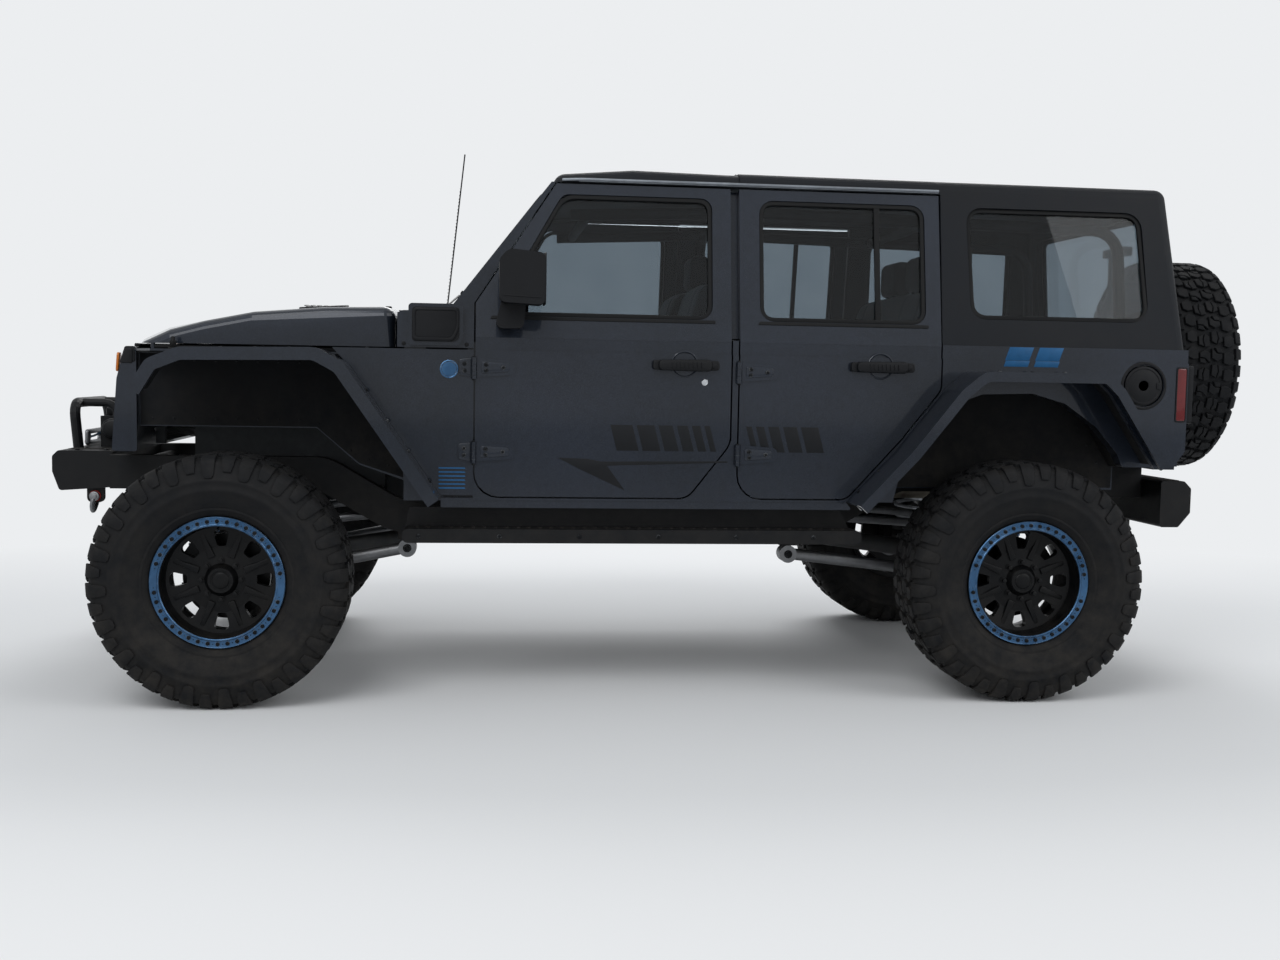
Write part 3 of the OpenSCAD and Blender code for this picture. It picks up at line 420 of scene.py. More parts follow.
def mottle_effect():
    """Broad uneven tone: a colour between two, and a roughness between two."""
    group, given, out = effect("mottle", {"Scale": ("value", 4.0), "Dark": ("colour", (0, 0, 0, 1)),
            "Light": ("colour", (1, 1, 1, 1)), "Gloss": ("value", 0.3), "Matt": ("value", 0.5)},
        {"Color": "colour", "Roughness": "value"})
    place = node(group, "TexCoord").outputs["Object"]
    broad = node(group, "TexNoise", {"Vector": place, "Scale": given["Scale"], "Detail": 5.0,
            "Roughness": 0.55}).outputs["Fac"]
    fine = node(group, "TexNoise", {"Vector": place, "Scale": 38.0, "Detail": 4.0}).outputs["Fac"]
    tone = ranged(group, sums(group, "ADD", sums(group, "MULTIPLY", broad, 0.7),
            sums(group, "MULTIPLY", fine, 0.3)), 0.35, 0.65)
    group.links.new(mixed(group, tone, given["Dark"], given["Light"]), out.inputs["Color"])
    rough = node(group, "MapRange", {0: tone, 1: 0.0, 2: 1.0, 3: given["Gloss"],
            4: given["Matt"]}).outputs[0]
    group.links.new(rough, out.inputs["Roughness"])
    return group


def wear_effect():
    """Edges rubbed bare: a mask that is 1 along worn edges."""
    group, given, out = effect("edge_wear", {"Width": ("value", 0.002), "Amount": ("value", 0.5)},
        {"Mask": "value"})
    soft = node(group, "Bevel", {"Radius": given["Width"]}, samples=4).outputs[0]
    hard = node(group, "NewGeometry").outputs["Normal"]
    flat = node(group, "VectorMath", {0: soft, 1: hard}, operation="DOT_PRODUCT").outputs["Value"]
    place = node(group, "TexCoord").outputs["Object"]
    patch = node(group, "TexNoise", {"Vector": place, "Scale": 55.0, "Detail": 6.0}).outputs["Fac"]
    edge = ranged(group, flat, 0.995, 0.9)
    rubbed = sums(group, "MULTIPLY", edge, ranged(group, patch, 0.45, 0.62))
    group.links.new(sums(group, "MULTIPLY", rubbed, given["Amount"], clamp=True), out.inputs["Mask"])
    return group


def dust_effect():
    """Road dust: a mask that grows towards the ground and on faces that look up."""
    group, given, out = effect("road_dust", {"Top": ("value", 0.9), "Amount": ("value", 0.4)},
        {"Mask": "value"})
    place = node(group, "TexCoord").outputs["Object"]
    height = node(group, "SeparateXYZ", {0: place}).outputs["Z"]
    low = node(group, "MapRange", {0: height, 1: given["Top"], 2: 0.0, 3: 0.0, 4: 1.0}).outputs[0]
    facing = node(group, "SeparateXYZ", {0: node(group, "NewGeometry").outputs["Normal"]}).outputs["Z"]
    settled = ranged(group, facing, 0.2, 1.0, 0.0, 0.35)
    speckle = node(group, "TexNoise", {"Vector": place, "Scale": 14.0, "Detail": 8.0,
            "Roughness": 0.7}).outputs["Fac"]
    mask = sums(group, "MULTIPLY", sums(group, "ADD", low, settled), ranged(group, speckle, 0.35, 0.75))
    group.links.new(sums(group, "MULTIPLY", mask, given["Amount"], clamp=True), out.inputs["Mask"])
    return group


FINE_GRAIN, MOTTLE, EDGE_WEAR, ROAD_DUST = grain_effect(), mottle_effect(), wear_effect(), dust_effect()


def placed(tree, group, **values):
    """One use of an effect in a material."""
    made = tree.nodes.new("ShaderNodeGroup")
    made.node_tree = group
    for key, value in values.items():
        made.inputs[key].default_value = value
    return made.outputs


def shade(hex_colour):
    """A colour written as on a paint card, in linear light."""
    parts = [int(hex_colour[i:i + 2], 16) / 255 for i in (0, 2, 4)]
    return (*[p / 12.92 if p <= 0.04045 else ((p + 0.055) / 1.055) ** 2.4 for p in parts], 1.0)


DUST = shade("6d665c")


def finish(name, dark, light, gloss, matt, scale=4.0, metallic=0.0, grain=None, wear=None, dust=None,
        **sockets):
    """A finish: uneven tone, then worn edges, then dust, with its grain as a bump."""
    material = bpy.data.materials.new(name)
    material.use_nodes = True
    tree = material.node_tree
    surface = tree.nodes["Principled BSDF"]
    base = placed(tree, MOTTLE, Scale=scale, Dark=shade(dark), Light=shade(light), Gloss=gloss, Matt=matt)
    colour, rough = base["Color"], base["Roughness"]
    if wear:
        amount, under = wear
        worn = placed(tree, EDGE_WEAR, Amount=amount)["Mask"]
        colour = mixed(tree, worn, colour, shade(under))
    if dust:
        top, amount = dust
        settled = placed(tree, ROAD_DUST, Top=top, Amount=amount)["Mask"]
        colour = mixed(tree, settled, colour, DUST)
        rough = sums(tree, "ADD", rough, sums(tree, "MULTIPLY", settled, 0.35), clamp=True)
    tree.links.new(colour, surface.inputs["Base Color"])
    tree.links.new(rough, surface.inputs["Roughness"])
    if grain:
        fine, height, *stretch = grain
        bump = placed(tree, FINE_GRAIN, Scale=fine, Height=height)
        if stretch:
            tree.nodes[-1].inputs["Stretch"].default_value = stretch[0]
        tree.links.new(bump["Normal"], surface.inputs["Normal"])
    surface.inputs["Metallic"].default_value = metallic
    surface.inputs["Specular IOR Level"].default_value = 0.2
    for key, value in sockets.items():
        surface.inputs[key.replace("_", " ")].default_value = value
    return material


def paint_finish():
    """Dark grey metallic paint: lighter specks painted into the colour as glints of its metallic flakes,
    orange peel under clear coat, a little dust low down.
    """
    material = finish("body_paint", "151a22", "1b212c", 0.30, 0.42, scale=1.6, metallic=0.45,
        dust=(0.95, 0.10), Coat_Weight=0.8, Coat_Roughness=0.04, Coat_IOR=1.35)
    tree = material.node_tree
    surface = tree.nodes["Principled BSDF"]
    place = node(tree, "TexCoord").outputs["Object"]
    # Painted glint: lighter specks mixed into the base colour stand in for light caught by the metallic
    # flakes.
    glint_speck_cells = node(tree, "TexVoronoi", {"Vector": place, "Scale": 1400.0}).outputs["Color"]
    painted_glint = ranged(tree, node(tree, "SeparateColor", {0: glint_speck_cells}).outputs[0], 0.72, 1.0, 0.0, 0.14)
    under = surface.inputs["Base Color"].links[0].from_socket
    tree.links.new(mixed(tree, painted_glint, under, shade("77818c")), surface.inputs["Base Color"])
    peel = placed(tree, FINE_GRAIN, Scale=260.0, Height=0.05, Depth=0.0006)
    tree.links.new(peel["Normal"], surface.inputs["Normal"])
    tree.links.new(peel["Normal"], surface.inputs["Coat Normal"])
    return material


def glass_finish(name, tint, dusty):
    """Tinted glass that shows what is behind it."""
    material = bpy.data.materials.new(name)
    material.use_nodes = True
    tree = material.node_tree
    surface = tree.nodes["Principled BSDF"]
    place = node(tree, "TexCoord").outputs["Object"]
    film = node(tree, "TexNoise", {"Vector": place, "Scale": 7.0, "Detail": 6.0}).outputs["Fac"]
    tree.links.new(mixed(tree, ranged(tree, film, 0.3, 0.7), shade(tint), shade(dusty)),
        surface.inputs["Base Color"])
    surface.inputs["Roughness"].default_value = 0.0
    surface.inputs["Transmission Weight"].default_value = 1.0
    surface.inputs["IOR"].default_value = 1.3
    lit = node(tree, "LightPath").outputs["Is Shadow Ray"]
    through = node(tree, "BsdfTransparent", {"Color": shade(tint)})
    shown = node(tree, "MixShader", {0: lit, 1: surface.outputs[0], 2: through.outputs[0]})
    tree.links.new(shown.outputs[0], tree.nodes["Material Output"].inputs["Surface"])
    return material


PAINT = paint_finish()
SHELL = finish("hardtop_shell", "090c11", "0e1218", 0.48, 0.62, scale=2.5, grain=(1300.0, 0.35),
    dust=(0.6, 0.10))
TRIM = finish("black_trim", "07080b", "0c0e12", 0.45, 0.6, grain=(1500.0, 0.3), dust=(0.9, 0.12))
POWDER = finish("powder_coat", "06070a", "0b0d10", 0.42, 0.55, grain=(800.0, 0.45),
    wear=(0.25, "3f4347"), dust=(1.0, 0.12))
WINCH = finish("winch_black", "090a0c", "101215", 0.35, 0.5, grain=(700.0, 0.25), wear=(0.4, "8a8d90"))
CHASSIS = finish("chassis_paint", "08090b", "0f1114", 0.5, 0.7, grain=(500.0, 0.35),
    wear=(0.3, "3a302a"), dust=(0.95, 0.25))
LINKS = finish("zinc_links", "6b6d70", "8b8d90", 0.35, 0.5, metallic=0.9, grain=(600.0, 0.15),
    wear=(0.3, "b9bbbd"), dust=(0.8, 0.45))
SPRING = finish("spring_paint", "8d9196", "a6aab0", 0.3, 0.45, metallic=0.3, grain=(300.0, 0.1),
    dust=(0.8, 0.35))
SHOCK = finish("shock_body", "1a1d22", "262b32", 0.25, 0.4, metallic=0.5, dust=(0.8, 0.35))
CAST = finish("cast_metal", "3a3c3e", "505254", 0.55, 0.75, metallic=0.6, grain=(420.0, 0.6),
    dust=(0.8, 0.5))
EXHAUST = finish("exhaust_steel", "5b564e", "8a857b", 0.35, 0.6, scale=9.0, metallic=0.95,
    grain=(300.0, 0.12), dust=(0.9, 0.4))
WHEEL = finish("wheel_black", "050608", "090b0e", 0.28, 0.38, metallic=0.3, wear=(0.2, "4a4e52"),
    dust=(0.9, 0.08))
RUBBER = finish("tyre_rubber", "08090c", "0e1013", 0.62, 0.85, scale=11.0, grain=(900.0, 0.3),
    dust=(1.0, 0.16))
CABIN = finish("cabin_plastic", "121315", "1a1b1e", 0.5, 0.65, grain=(1400.0, 0.4))
CLOTH = finish("seat_cloth", "141518", "1e2024", 0.8, 0.95, grain=(2200.0, 0.6), Sheen_Weight=0.3)
GLASS = glass_finish("tinted_glass", "9aa4ab", "a2abb1")
LENS = glass_finish("clear_lens", "f2f5f7", "e6eaec")

OF_SLOT = {"body_paint": PAINT, "top_shell": SHELL, "trim_plastic": TRIM, "powder_coat": POWDER,
    "winch_black": WINCH, "chassis_black": CHASSIS, "link_steel": LINKS, "spring_steel": SPRING,
    "shock_body": SHOCK, "cast_metal": CAST, "exhaust_steel": EXHAUST, "wheel_black": WHEEL,
    "tyre": RUBBER, "tinted_glass": GLASS, "lamp_lens": LENS, "cabin_plastic": CABIN, "seat_cloth": CLOTH}
for part in frame["record"]["subparts"]:
    for place in nodes[part["node"]].material_slots:
        place.link = "OBJECT"
        place.material = OF_SLOT[part["material_slot"]]


# ---- Studio ----

def studio():
    """Pale floor, pale sky for the camera and the mirrors, soft lamps."""
    bpy.ops.mesh.primitive_plane_add(size=60, location=(0, 0, cad_box[0].z))
    floor = named("floor")
    ground = bpy.data.materials.new("floor")
    ground.use_nodes = True
    surface = ground.node_tree.nodes["Principled BSDF"]
    surface.inputs["Base Color"].default_value = shade("e4e6e8")
    surface.inputs["Roughness"].default_value = 0.9
    tree = ground.node_tree
    glow = node(tree, "Emission", {"Color": shade("eceef0")})
    far = node(tree, "VectorMath", {0: node(tree, "TexCoord").outputs["Object"], 1: (0.16, 0.30, 0)},
        operation="MULTIPLY").outputs[0]
    far = node(tree, "VectorMath", {0: far}, operation="LENGTH").outputs["Value"]
    seen = node(tree, "LightPath").outputs["Is Camera Ray"]
    blend = node(tree, "MixShader", {0: sums(tree, "MULTIPLY", ranged(tree, far, 0.62, 1.25), seen),
            1: surface.outputs[0], 2: glow.outputs[0]})
    tree.links.new(blend.outputs[0], tree.nodes["Material Output"].inputs["Surface"])
    floor.data.materials.append(ground)
    sky = bpy.data.worlds.new("studio")
    bpy.context.scene.world = sky
    sky.use_nodes = True
    tree = sky.node_tree
    back = tree.nodes["Background"]
    seen = node(tree, "LightPath").outputs
    shown = sums(tree, "MAXIMUM", seen["Is Camera Ray"], sums(tree, "MAXIMUM", seen["Is Glossy Ray"],
            seen["Is Transmission Ray"]))
    back.inputs["Color"].default_value = shade("eceef0")
    tree.links.new(ranged(tree, shown, 0.0, 1.0, 0.55, 1.0), back.inputs["Strength"])
    for name, place, size, power in (("key", (3.5, 6.0, 6.5), 5.0, 300),
            ("fill", (-6.0, 5.0, 4.5), 5.0, 160), ("rim", (-1.0, -6.5, 6.0), 6.0, 380)):
        lamp = bpy.data.lights.new(name, "AREA")
        lamp.size, lamp.energy = size, power
        stand = bpy.data.objects.new(name, lamp)
        stand.location = place
        stand.rotation_euler = (Vector((0, 0, 0.9)) - stand.location).to_track_quat("-Z", "Y").to_euler()
        bpy.context.scene.collection.objects.link(stand)


studio()


# ---- Wheels ----

HUB = (0, WHEEL_Y, AXLE_Z)
WHEELS = {"front_left": Matrix.Identity(4), "rear_left": Matrix.Translation((REAR_X * MM, 0, 0))}
for end, way in (("front", 0), ("rear", REAR_X)):
    spin_round = turned(at(way, 0, 0), "Z", 180)
    WHEELS[end + "_right"] = spin_round @ WHEELS[end + "_left"]
SPARE_TURN = Matrix.Rotation(math.radians(90), 4, "Z")
WHEELS["spare"] = Matrix.Translation(at(SPARE_X, 0, SPARE_Z)) @ SPARE_TURN @ Matrix.Translation(-at(*HUB))
BODY_OF_WHEEL = {place: "tailgate_body" if place == "spare" else place + "_wheel" for place in WHEELS}

# Outer line of the casing under the tread: distance from the middle, and radius
CASING = [(0, 447), (104, 447), (125, 443), (140, 430), (150, 406), (156.5, 378), (160.5, 350)]
TREAD_PITCHES = 20
PITCH = math.tau * TYRE_R / TREAD_PITCHES
# Tread blocks of half a pitch: along the tyre, and out from its middle over the shoulder
CENTRE_BLOCKS = [
    [(4, 5), (46, 5), (57, 25), (30, 33), (0, 27)],
    [(3, 31), (31, 37), (58, 29), (47, 53), (11, 53)],
    [(78, 4), (118, 4), (132, 27), (120, 50), (102, 50), (98, 26)],
    [(74, 20), (94, 28), (97, 50), (80, 50)],
    [(26, 60), (66, 60), (74, 80), (62, 103), (30, 103), (20, 82)],
    [(96, 57), (140, 57), (148, 84), (134, 103), (104, 103), (92, 78)]]
SHOULDER_BLOCKS = [[(2, 110), (52, 110), (56, 148), (50, 196), (40, 202), (18, 202), (8, 192), (4, 150)],
                   [(76, 110), (124, 110), (122, 150), (116, 178), (84, 178), (78, 150)]]


def on_casing(far):
    """The casing's surface a distance out from its middle: place across, radius, and the way it faces."""
    for (y0, r0), (y1, r1) in zip(CASING, CASING[1:]):
        step = math.hypot(y1 - y0, r1 - r0)
        if far <= step or (y1, r1) == CASING[-1]:
            t = far / step
            return y0 + (y1 - y0) * t, r0 + (r1 - r0) * t, (r0 - r1) / step, (y1 - y0) / step
        far -= step


def tread_block(outline, side):
    """One tread block, cut flat with chamfered rims, crossed by lines where it folds over the shoulder."""
    flat = [[((u if side > 0 else PITCH / 2 - u) * MM, side * w * MM, 0) for u, w in outline]]
    piece = drawn("block", flat, True, dimensions="2D", fill_mode="BOTH", extrude=0.007, offset=-0.0022,
        bevel_depth=0.0022, bevel_resolution=0)
    if max(w for u, w in outline) > 110:
        with editing(piece):
            for fold in (126, 144, 160, 174, 190):
                bpy.ops.mesh.select_all(action="SELECT")
                bpy.ops.mesh.bisect(plane_co=(0, side * fold * MM, 0), plane_no=(0, 1, 0))
    return tidied(piece)


def tyre():
    """Mud tyre: casing with its sidewall rings, and twenty pitches of tread that wrap over the shoulders."""
    half = [(216.5, 100), (216.5, 113.4), (237.6, 113.4), (240, 121), (252, 130), (262, 138),
        (270, 138.5), (274, 142), (300, 151), (326, 158.5), (330, 160.8), (338, 161.2), (342, 159.8),
        (360, 158.6), (364, 160.2), (372, 159.6), (376, 156.4), (406, 149.5), (430, 140), (443, 125),
        (447, 104)]
    inside = [(432, 95), (424, 128), (340, 148), (250, 108), (228, 92)]
    casing = lathe("casing", half + [(r, -y) for r, y in reversed(half)]
        + [(r, -y) for r, y in reversed(inside)] + inside, HUB, steps=120)
    blocks = [tread_block(outline, side) for side in SIDES for outline in CENTRE_BLOCKS + SHOULDER_BLOCKS]
    pitch = joined("pitch", *blocks)
    for spot in pitch.data.vertices:
        far = abs(spot.co.y) / MM
        across, radius, out_y, out_r = on_casing(far)
        proud = spot.co.z / MM + 4
        proud *= 1 if far < 110 or proud < 0 else max(0.42, 1 - (far - 110) / 120)
        angle = spot.co.x / MM / TYRE_R
        radius = min(radius + proud * out_r, TYRE_R - 0.3)
        spot.co = at(radius * math.sin(angle), WHEEL_Y + math.copysign(across + proud * out_y,
                spot.co.y), AXLE_Z + radius * math.cos(angle))
    tread = ring_of("tread", tidied(pitch), at(*HUB), "Y", TREAD_PITCHES)
    return joined("tyre", casing, tread)


# Clamping ring: circle and number of its bolt places, and the four places without a bolt
RING_CIRCLE = 221
RING_PLACES = 40
RING_PADS = (9, 10, 29, 30)
NUT_CIRCLE = 71
SPOKES = 8


def beadlock_ring():
    """Clamping ring with a rolled inner lip and shallow scallops between its bolts."""
    ring = lathe("ring", [(203.5, 124), (203.5, 129.5), (206, 131.5), (209, 131.5), (211.5, 129.6),
            (231, 129.6), (234.5, 131), (236.8, 129), (236.8, 124)], HUB, steps=160)
    scallop = drum("scallop", (0, WHEEL_Y + 130.2, AXLE_Z + RING_CIRCLE), (0, 1, 0), 8.2, 3, edge=0, sides=16)
    scallops = ring_of("scallops", scallop, at(*HUB), "Y", RING_PLACES, skip=RING_PADS)
    ring = modified(ring, "BOOLEAN", object=scallops, operation="DIFFERENCE", solver="EXACT")
    bpy.data.objects.remove(scallops)
    return ring


def ring_bolts():
    """Twelve-point bolts round the clamping ring, with a small dowel between two."""
    height = AXLE_Z + RING_CIRCLE
    head = drum("bolt", (0, WHEEL_Y + 131.3, height), (0, 1, 0), 7.4, 5.2, edge=0.8, sides=12)
    dowel = drum("dowel", (0, WHEEL_Y + 130.2, height), (0, 1, 0), 1.9, 2.6, edge=0.5, sides=8)
    dowel = moved(dowel, turned(at(*HUB), "Y", 4.5))
    heads = ring_of("heads", head, at(*HUB), "Y", RING_PLACES, skip=RING_PADS)
    dowels = ring_of("dowels", dowel, at(*HUB), "Y", RING_PLACES, skip=RING_PADS[::2])
    return joined("bolts", heads, dowels)


def wheel_centre():
    """Ribs down the spokes, the nut ring and the stepped cap."""
    rib = plate("rib", rounded([(-13, 86), (13, 86), (9, 150), (10, 192), (-10, 192), (-9, 150)], 5),
        40, 53, edge=3, place=Matrix.Translation(at(*HUB)) @ SIDE_ON)
    half_step = 180 / SPOKES
    rib = moved(rib, turned(at(*HUB), "Y", half_step))
    ribs = ring_of("ribs", rib, at(*HUB), "Y", SPOKES)
    height = AXLE_Z + NUT_CIRCLE
    washer = drum("washer", (0, WHEEL_Y + 51, height), (0, 1, 0), 12, 6, edge=0.8, sides=24)
    nut = drum("nut", (0, WHEEL_Y + 60, height), (0, 1, 0), 9.6, 18, edge=1.2, sides=6, far_radius=8.8)
    nuts = ring_of("nuts", joined("nut", washer, nut), at(*HUB), "Y", SPOKES)
    cap = lathe("cap", [(0, 60), (47.5, 60), (47.5, 70), (45, 73), (36, 73.6), (34.5, 71.8), (31, 71.8),
            (29.5, 74), (27, 75.4), (16, 76.6), (0, 77)], HUB, steps=64, closed=False)
    screw = drum("screw", (0, WHEEL_Y + 73.6, AXLE_Z + 40.5), (0, 1, 0), 2.6, 2.4, edge=0.5, sides=10)
    screws = ring_of("screws", screw, at(*HUB), "Y", SPOKES, start=half_step)
    return joined("centre", ribs, nuts, cap, screws)


def valve():
    """Tyre valve with its cap."""
    stem = tube("stem", [(0, WHEEL_Y + 92, AXLE_Z + 203), (0, WHEEL_Y + 108, AXLE_Z + 194),
            (0, WHEEL_Y + 118, AXLE_Z + 190)], 3.2, bend=6)
    cap = drum("cap", (0, WHEEL_Y + 121, AXLE_Z + 189), (0, 1, -0.35), 4.6, 12, edge=0.8, sides=14)
    return joined("valve", stem, cap)


RING_BLUE = finish("ring_blue", "2c4866", "3f6286", 0.24, 0.36, scale=6.0, metallic=0.75,
    grain=(420.0, 0.08), wear=(0.35, "b9c6d2"), dust=(0.9, 0.10))
BOLT_BLACK = finish("bolt_black", "0b0c0e", "16181b", 0.3, 0.42, metallic=0.5, wear=(0.5, "8b8f93"))

for maker, name, material, slot in ((tyre, "tyre", RUBBER, "tyre"),
        (beadlock_ring, "beadlock_ring", RING_BLUE, "wheel_black"),
        (ring_bolts, "ring_bolts", BOLT_BLACK, "wheel_black"),
        (wheel_centre, "wheel_centre", WHEEL, "wheel_black"), (valve, "valve", BOLT_BLACK, "wheel_black")):
    first = maker()
    for place, lift in WHEELS.items():
        piece = copied(first, lift)
        piece.name = piece.data.name = f"{place}_{name}" if name != "tyre" else f"{place}_mud_tyre"
        dressed(piece, material, BODY_OF_WHEEL[place])
        if name == "tyre":
            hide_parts(place + "_tyre")
    bpy.data.objects.remove(first)


# ---- Body sides ----

LEANING = Matrix.Translation(at(0, SHOULDER_Y, BELT_Z)) @ Matrix.Rotation(TILT, 4, "X") @ SIDE_ON


def up_lean(z):
    """Distance up the leaning windows to a height."""
    return (z - BELT_Z) / math.cos(TILT)


def grown(points, by):
    """A closed outline with every side moved outwards; inwards where by is negative."""
    spots = [Vector(point) for point in points]
    area = sum(a.x * b.y - b.x * a.y for a, b in zip(spots, spots[1:] + spots[:1]))
    way = 1 if area > 0 else -1
    made = []
    for before, here, after in zip(spots[-1:] + spots[:-1], spots, spots[1:] + spots[:1]):
        a, b = (here - before).normalized(), (after - here).normalized()
        out = Vector((a.y + b.y, -a.x - b.x)).normalized() * way
        made.append(here + out * by / max(0.3, out.dot(Vector((a.y, -a.x)) * way)))
    return made


def pair(piece, name, material, body="chassis", sharp=35):
    """The piece on the left side and its mirror image on the right, each riding on its own side's body."""
    for word, flip in (("left", None), ("right", ACROSS)):
        one = copied(piece, flip)
        one.name = one.data.name = f"{word}_{name}"
        dressed(one, material, body.replace("SIDE", word), sharp)
    bpy.data.objects.remove(piece)


def hex_bolt(name, centre, axis, radius=7, height=5):
    """A flanged hexagon bolt head standing on a surface."""
    centre, axis = Vector(centre), Vector(axis).normalized()
    flange = drum(name, centre + axis * height * 0.2, axis, radius * 1.3, height * 0.4, edge=0.5, sides=20)
    head = drum(name, centre + axis * height * 0.6, axis, radius, height * 0.8, edge=0.6, sides=6)
    return joined(name, flange, head)


BLACK_RUBBER = finish("seal_rubber", "08090a", "111214", 0.55, 0.75, grain=(1200.0, 0.25))
CHROME = finish("bright_metal", "b9bcc0", "d5d8db", 0.08, 0.2, metallic=1.0, grain=(500.0, 0.03))
BLUE_VINYL = finish("blue_vinyl", "1a4b74", "225b8a", 0.3, 0.4, grain=(900.0, 0.08), dust=(0.9, 0.1))
DARK_VINYL = finish("dark_vinyl", "0b0d10", "101317", 0.45, 0.6, grain=(900.0, 0.12), dust=(0.9, 0.15))
BRIGHT_TRIM = finish("gutter_trim", "6d7278", "8a9097", 0.3, 0.42, metallic=0.6, grain=(600.0, 0.08))
LINER = finish("liner_felt", "0b0c0e", "15171a", 0.75, 0.92, grain=(600.0, 0.7), dust=(1.3, 0.35))

WINDOW_FOOT = 1438
WINDOW_TOP = 1905
FRONT_WINDOW = [(-1802, WINDOW_FOOT), (-962, WINDOW_FOOT), (-1228, WINDOW_TOP), (-1802, WINDOW_TOP)]
REAR_WINDOW = [(-2641, WINDOW_FOOT), (-1985, WINDOW_FOOT), (-1985, WINDOW_TOP), (-2641, WINDOW_TOP)]
QUARTER_WINDOW = [(-3552, 1466), (-2822, 1466), (-2808, 1902), (-3530, 1902)]


def window_seal(name, corners, near=-18, far=-3, lap=17, radius=52):
    """Rubber run round a side window, lapping the glass."""
    outline = [(x, up_lean(z)) for x, z in corners]
    return plate(name, [rounded(grown(outline, -0.6), radius, 6),
            rounded(grown(outline, -lap), radius - lap * 0.6, 6)], near, far, edge=3, place=LEANING)


def door_handle(x0, x1, z):
    """Fixed grip on two feet with a release button, over a shallow round cup."""
    middle = (x0 + x1) / 2
    grip = plate("grip", rounded([(x0 + 26, z - 20), (x1 - 22, z - 23), (x1 - 22, z + 23),
                (x0 + 26, z + 20)], 19, 6), 816, 838, edge=8)
    feet = [plate("foot", rounded([(a, z - 18), (b, z - 18), (b, z + 18), (a, z + 18)], 12, 5), BODY_Y,
            822, edge=3) for a, b in ((x0 + 46, x0 + 4), (x1 - 4, x1 - 52))]
    button = drum("button", (x1 - 30, 824, z), (0, 1, 0), 11, 8, edge=2)
    dents = row_of("dents", block("dent", (middle - 62, 838, z - 12), (middle - 58, 840.5, z + 12),
            edge=1), (16, 0, 0), 8)
    return joined("handle", grip, *feet, button, dents)


def handle_cup(x0, x1, z):
    """Rim of the finger cup behind a grip."""
    return lathe("cup", [(44, 0), (46.5, 1.6), (49, 1.8), (51.5, 0), (49, -1), (46, -1)],
        ((x0 + x1) / 2, BODY_Y, z + 4), steps=48)


def hinge_dress(x, z):
    """Raised rib and three star bolts on a door's hinge leaf, and the knuckle rings round its barrel."""
    rib = plate("rib", rounded([(x - 128, z - 12), (x - 22, z - 20), (x - 22, z + 26),
                (x - 128, z + 20)], 12), 802, 806.5, edge=2)
    bolts = [hex_bolt("bolt", (x - along, 806, z + up), (0, 1, 0), 6.5, 5)
        for along, up in ((40, 14), (40, -8), (104, 4))]
    rings = [hoop("ring", (x + 5, 806.3, z + up), (0, 0, 1), 10.6, 1.2, sides=24, round_sides=6)
        for up in (-26, -13, 0, 13, 26)]
    caps = [drum("pin", (x + 5, 806.3, z + up), (0, 0, 1), 6, 6, edge=1, sides=16) for up in (-42, 42)]
    return rib, joined("bolts", *bolts), joined("knuckles", *rings, *caps)


def hinge_foot(x, z):
    """Leaf of the hinge on the body, ahead of the door."""
    leaf = plate("leaf", rounded([(x + 9, z - 34), (x + 62, z - 26), (x + 62, z + 32), (x + 9, z + 38)],
            10), BODY_Y, 802, edge=2)
    bolts = [hex_bolt("bolt", (x + 40, 802, z + up), (0, 1, 0), 6.5, 5) for up in (-10, 16)]
    return leaf, joined("bolts", *bolts)


def door_card(low):
    """Moulded card on the inside of a door, with an arm rest, a pull and a speaker."""
    card = plate("card", rounded(low, 40), 729.5, 735.5, edge=2)
    x0, x1 = max(x for x, z in low) - 150, min(x for x, z in low) + 110
    rest = block("rest", (x1, 712, 1080), (x0, 731, 1130), edge=9, steps=3)
    pull = tube("pull", [(x0 - 90, 731, 1180), (x0 - 90, 708, 1190), (x0 - 270, 708, 1190),
            (x0 - 270, 731, 1180)], 8, bend=16)
    grille = ring_of("grille", hoop("bar", (x0 - 60, 729, 900), (0, 1, 0), 52, 2.5, sides=40,
            round_sides=6), at(x0 - 60, 729, 900), "Y", 1)
    bars = row_of("bars", block("bar", (x0 - 104, 727, 870), (x0 - 16, 730, 873), edge=1), (0, 0, 12), 6)
    return joined("card", card, rest, pull, grille, bars)


DOORS = (("front", -905, FRONT_WINDOW, (-1616, -1772, 1265)),
         ("rear", -1908, REAR_WINDOW, (-2382, -2534, 1271)))
HINGE_HEIGHTS = (("upper", 1240), ("lower", 925))
for end, x_hinge, corners, handle in DOORS:
    body = end + "_SIDE_door_body"
    pair(window_seal("seal", corners), end + "_window_seal", BLACK_RUBBER, body)
    pair(door_handle(*handle), end + "_door_handle", TRIM, body)
    pair(handle_cup(*handle), end + "_handle_cup", PAINT, body)
    for height, z in HINGE_HEIGHTS:
        rib, bolts, knuckles = hinge_dress(x_hinge, z)
        pair(rib, f"{end}_{height}_hinge_rib", PAINT, body)
        pair(joined("bolts", bolts, knuckles), f"{end}_{height}_hinge_bolts", BOLT_BLACK,
            body)
        if end == "front":
            leaf, fixed = hinge_foot(x_hinge, z)
            pair(leaf, height + "_hinge_leaf", PAINT)
            pair(fixed, height + "_leaf_bolts", BOLT_BLACK)

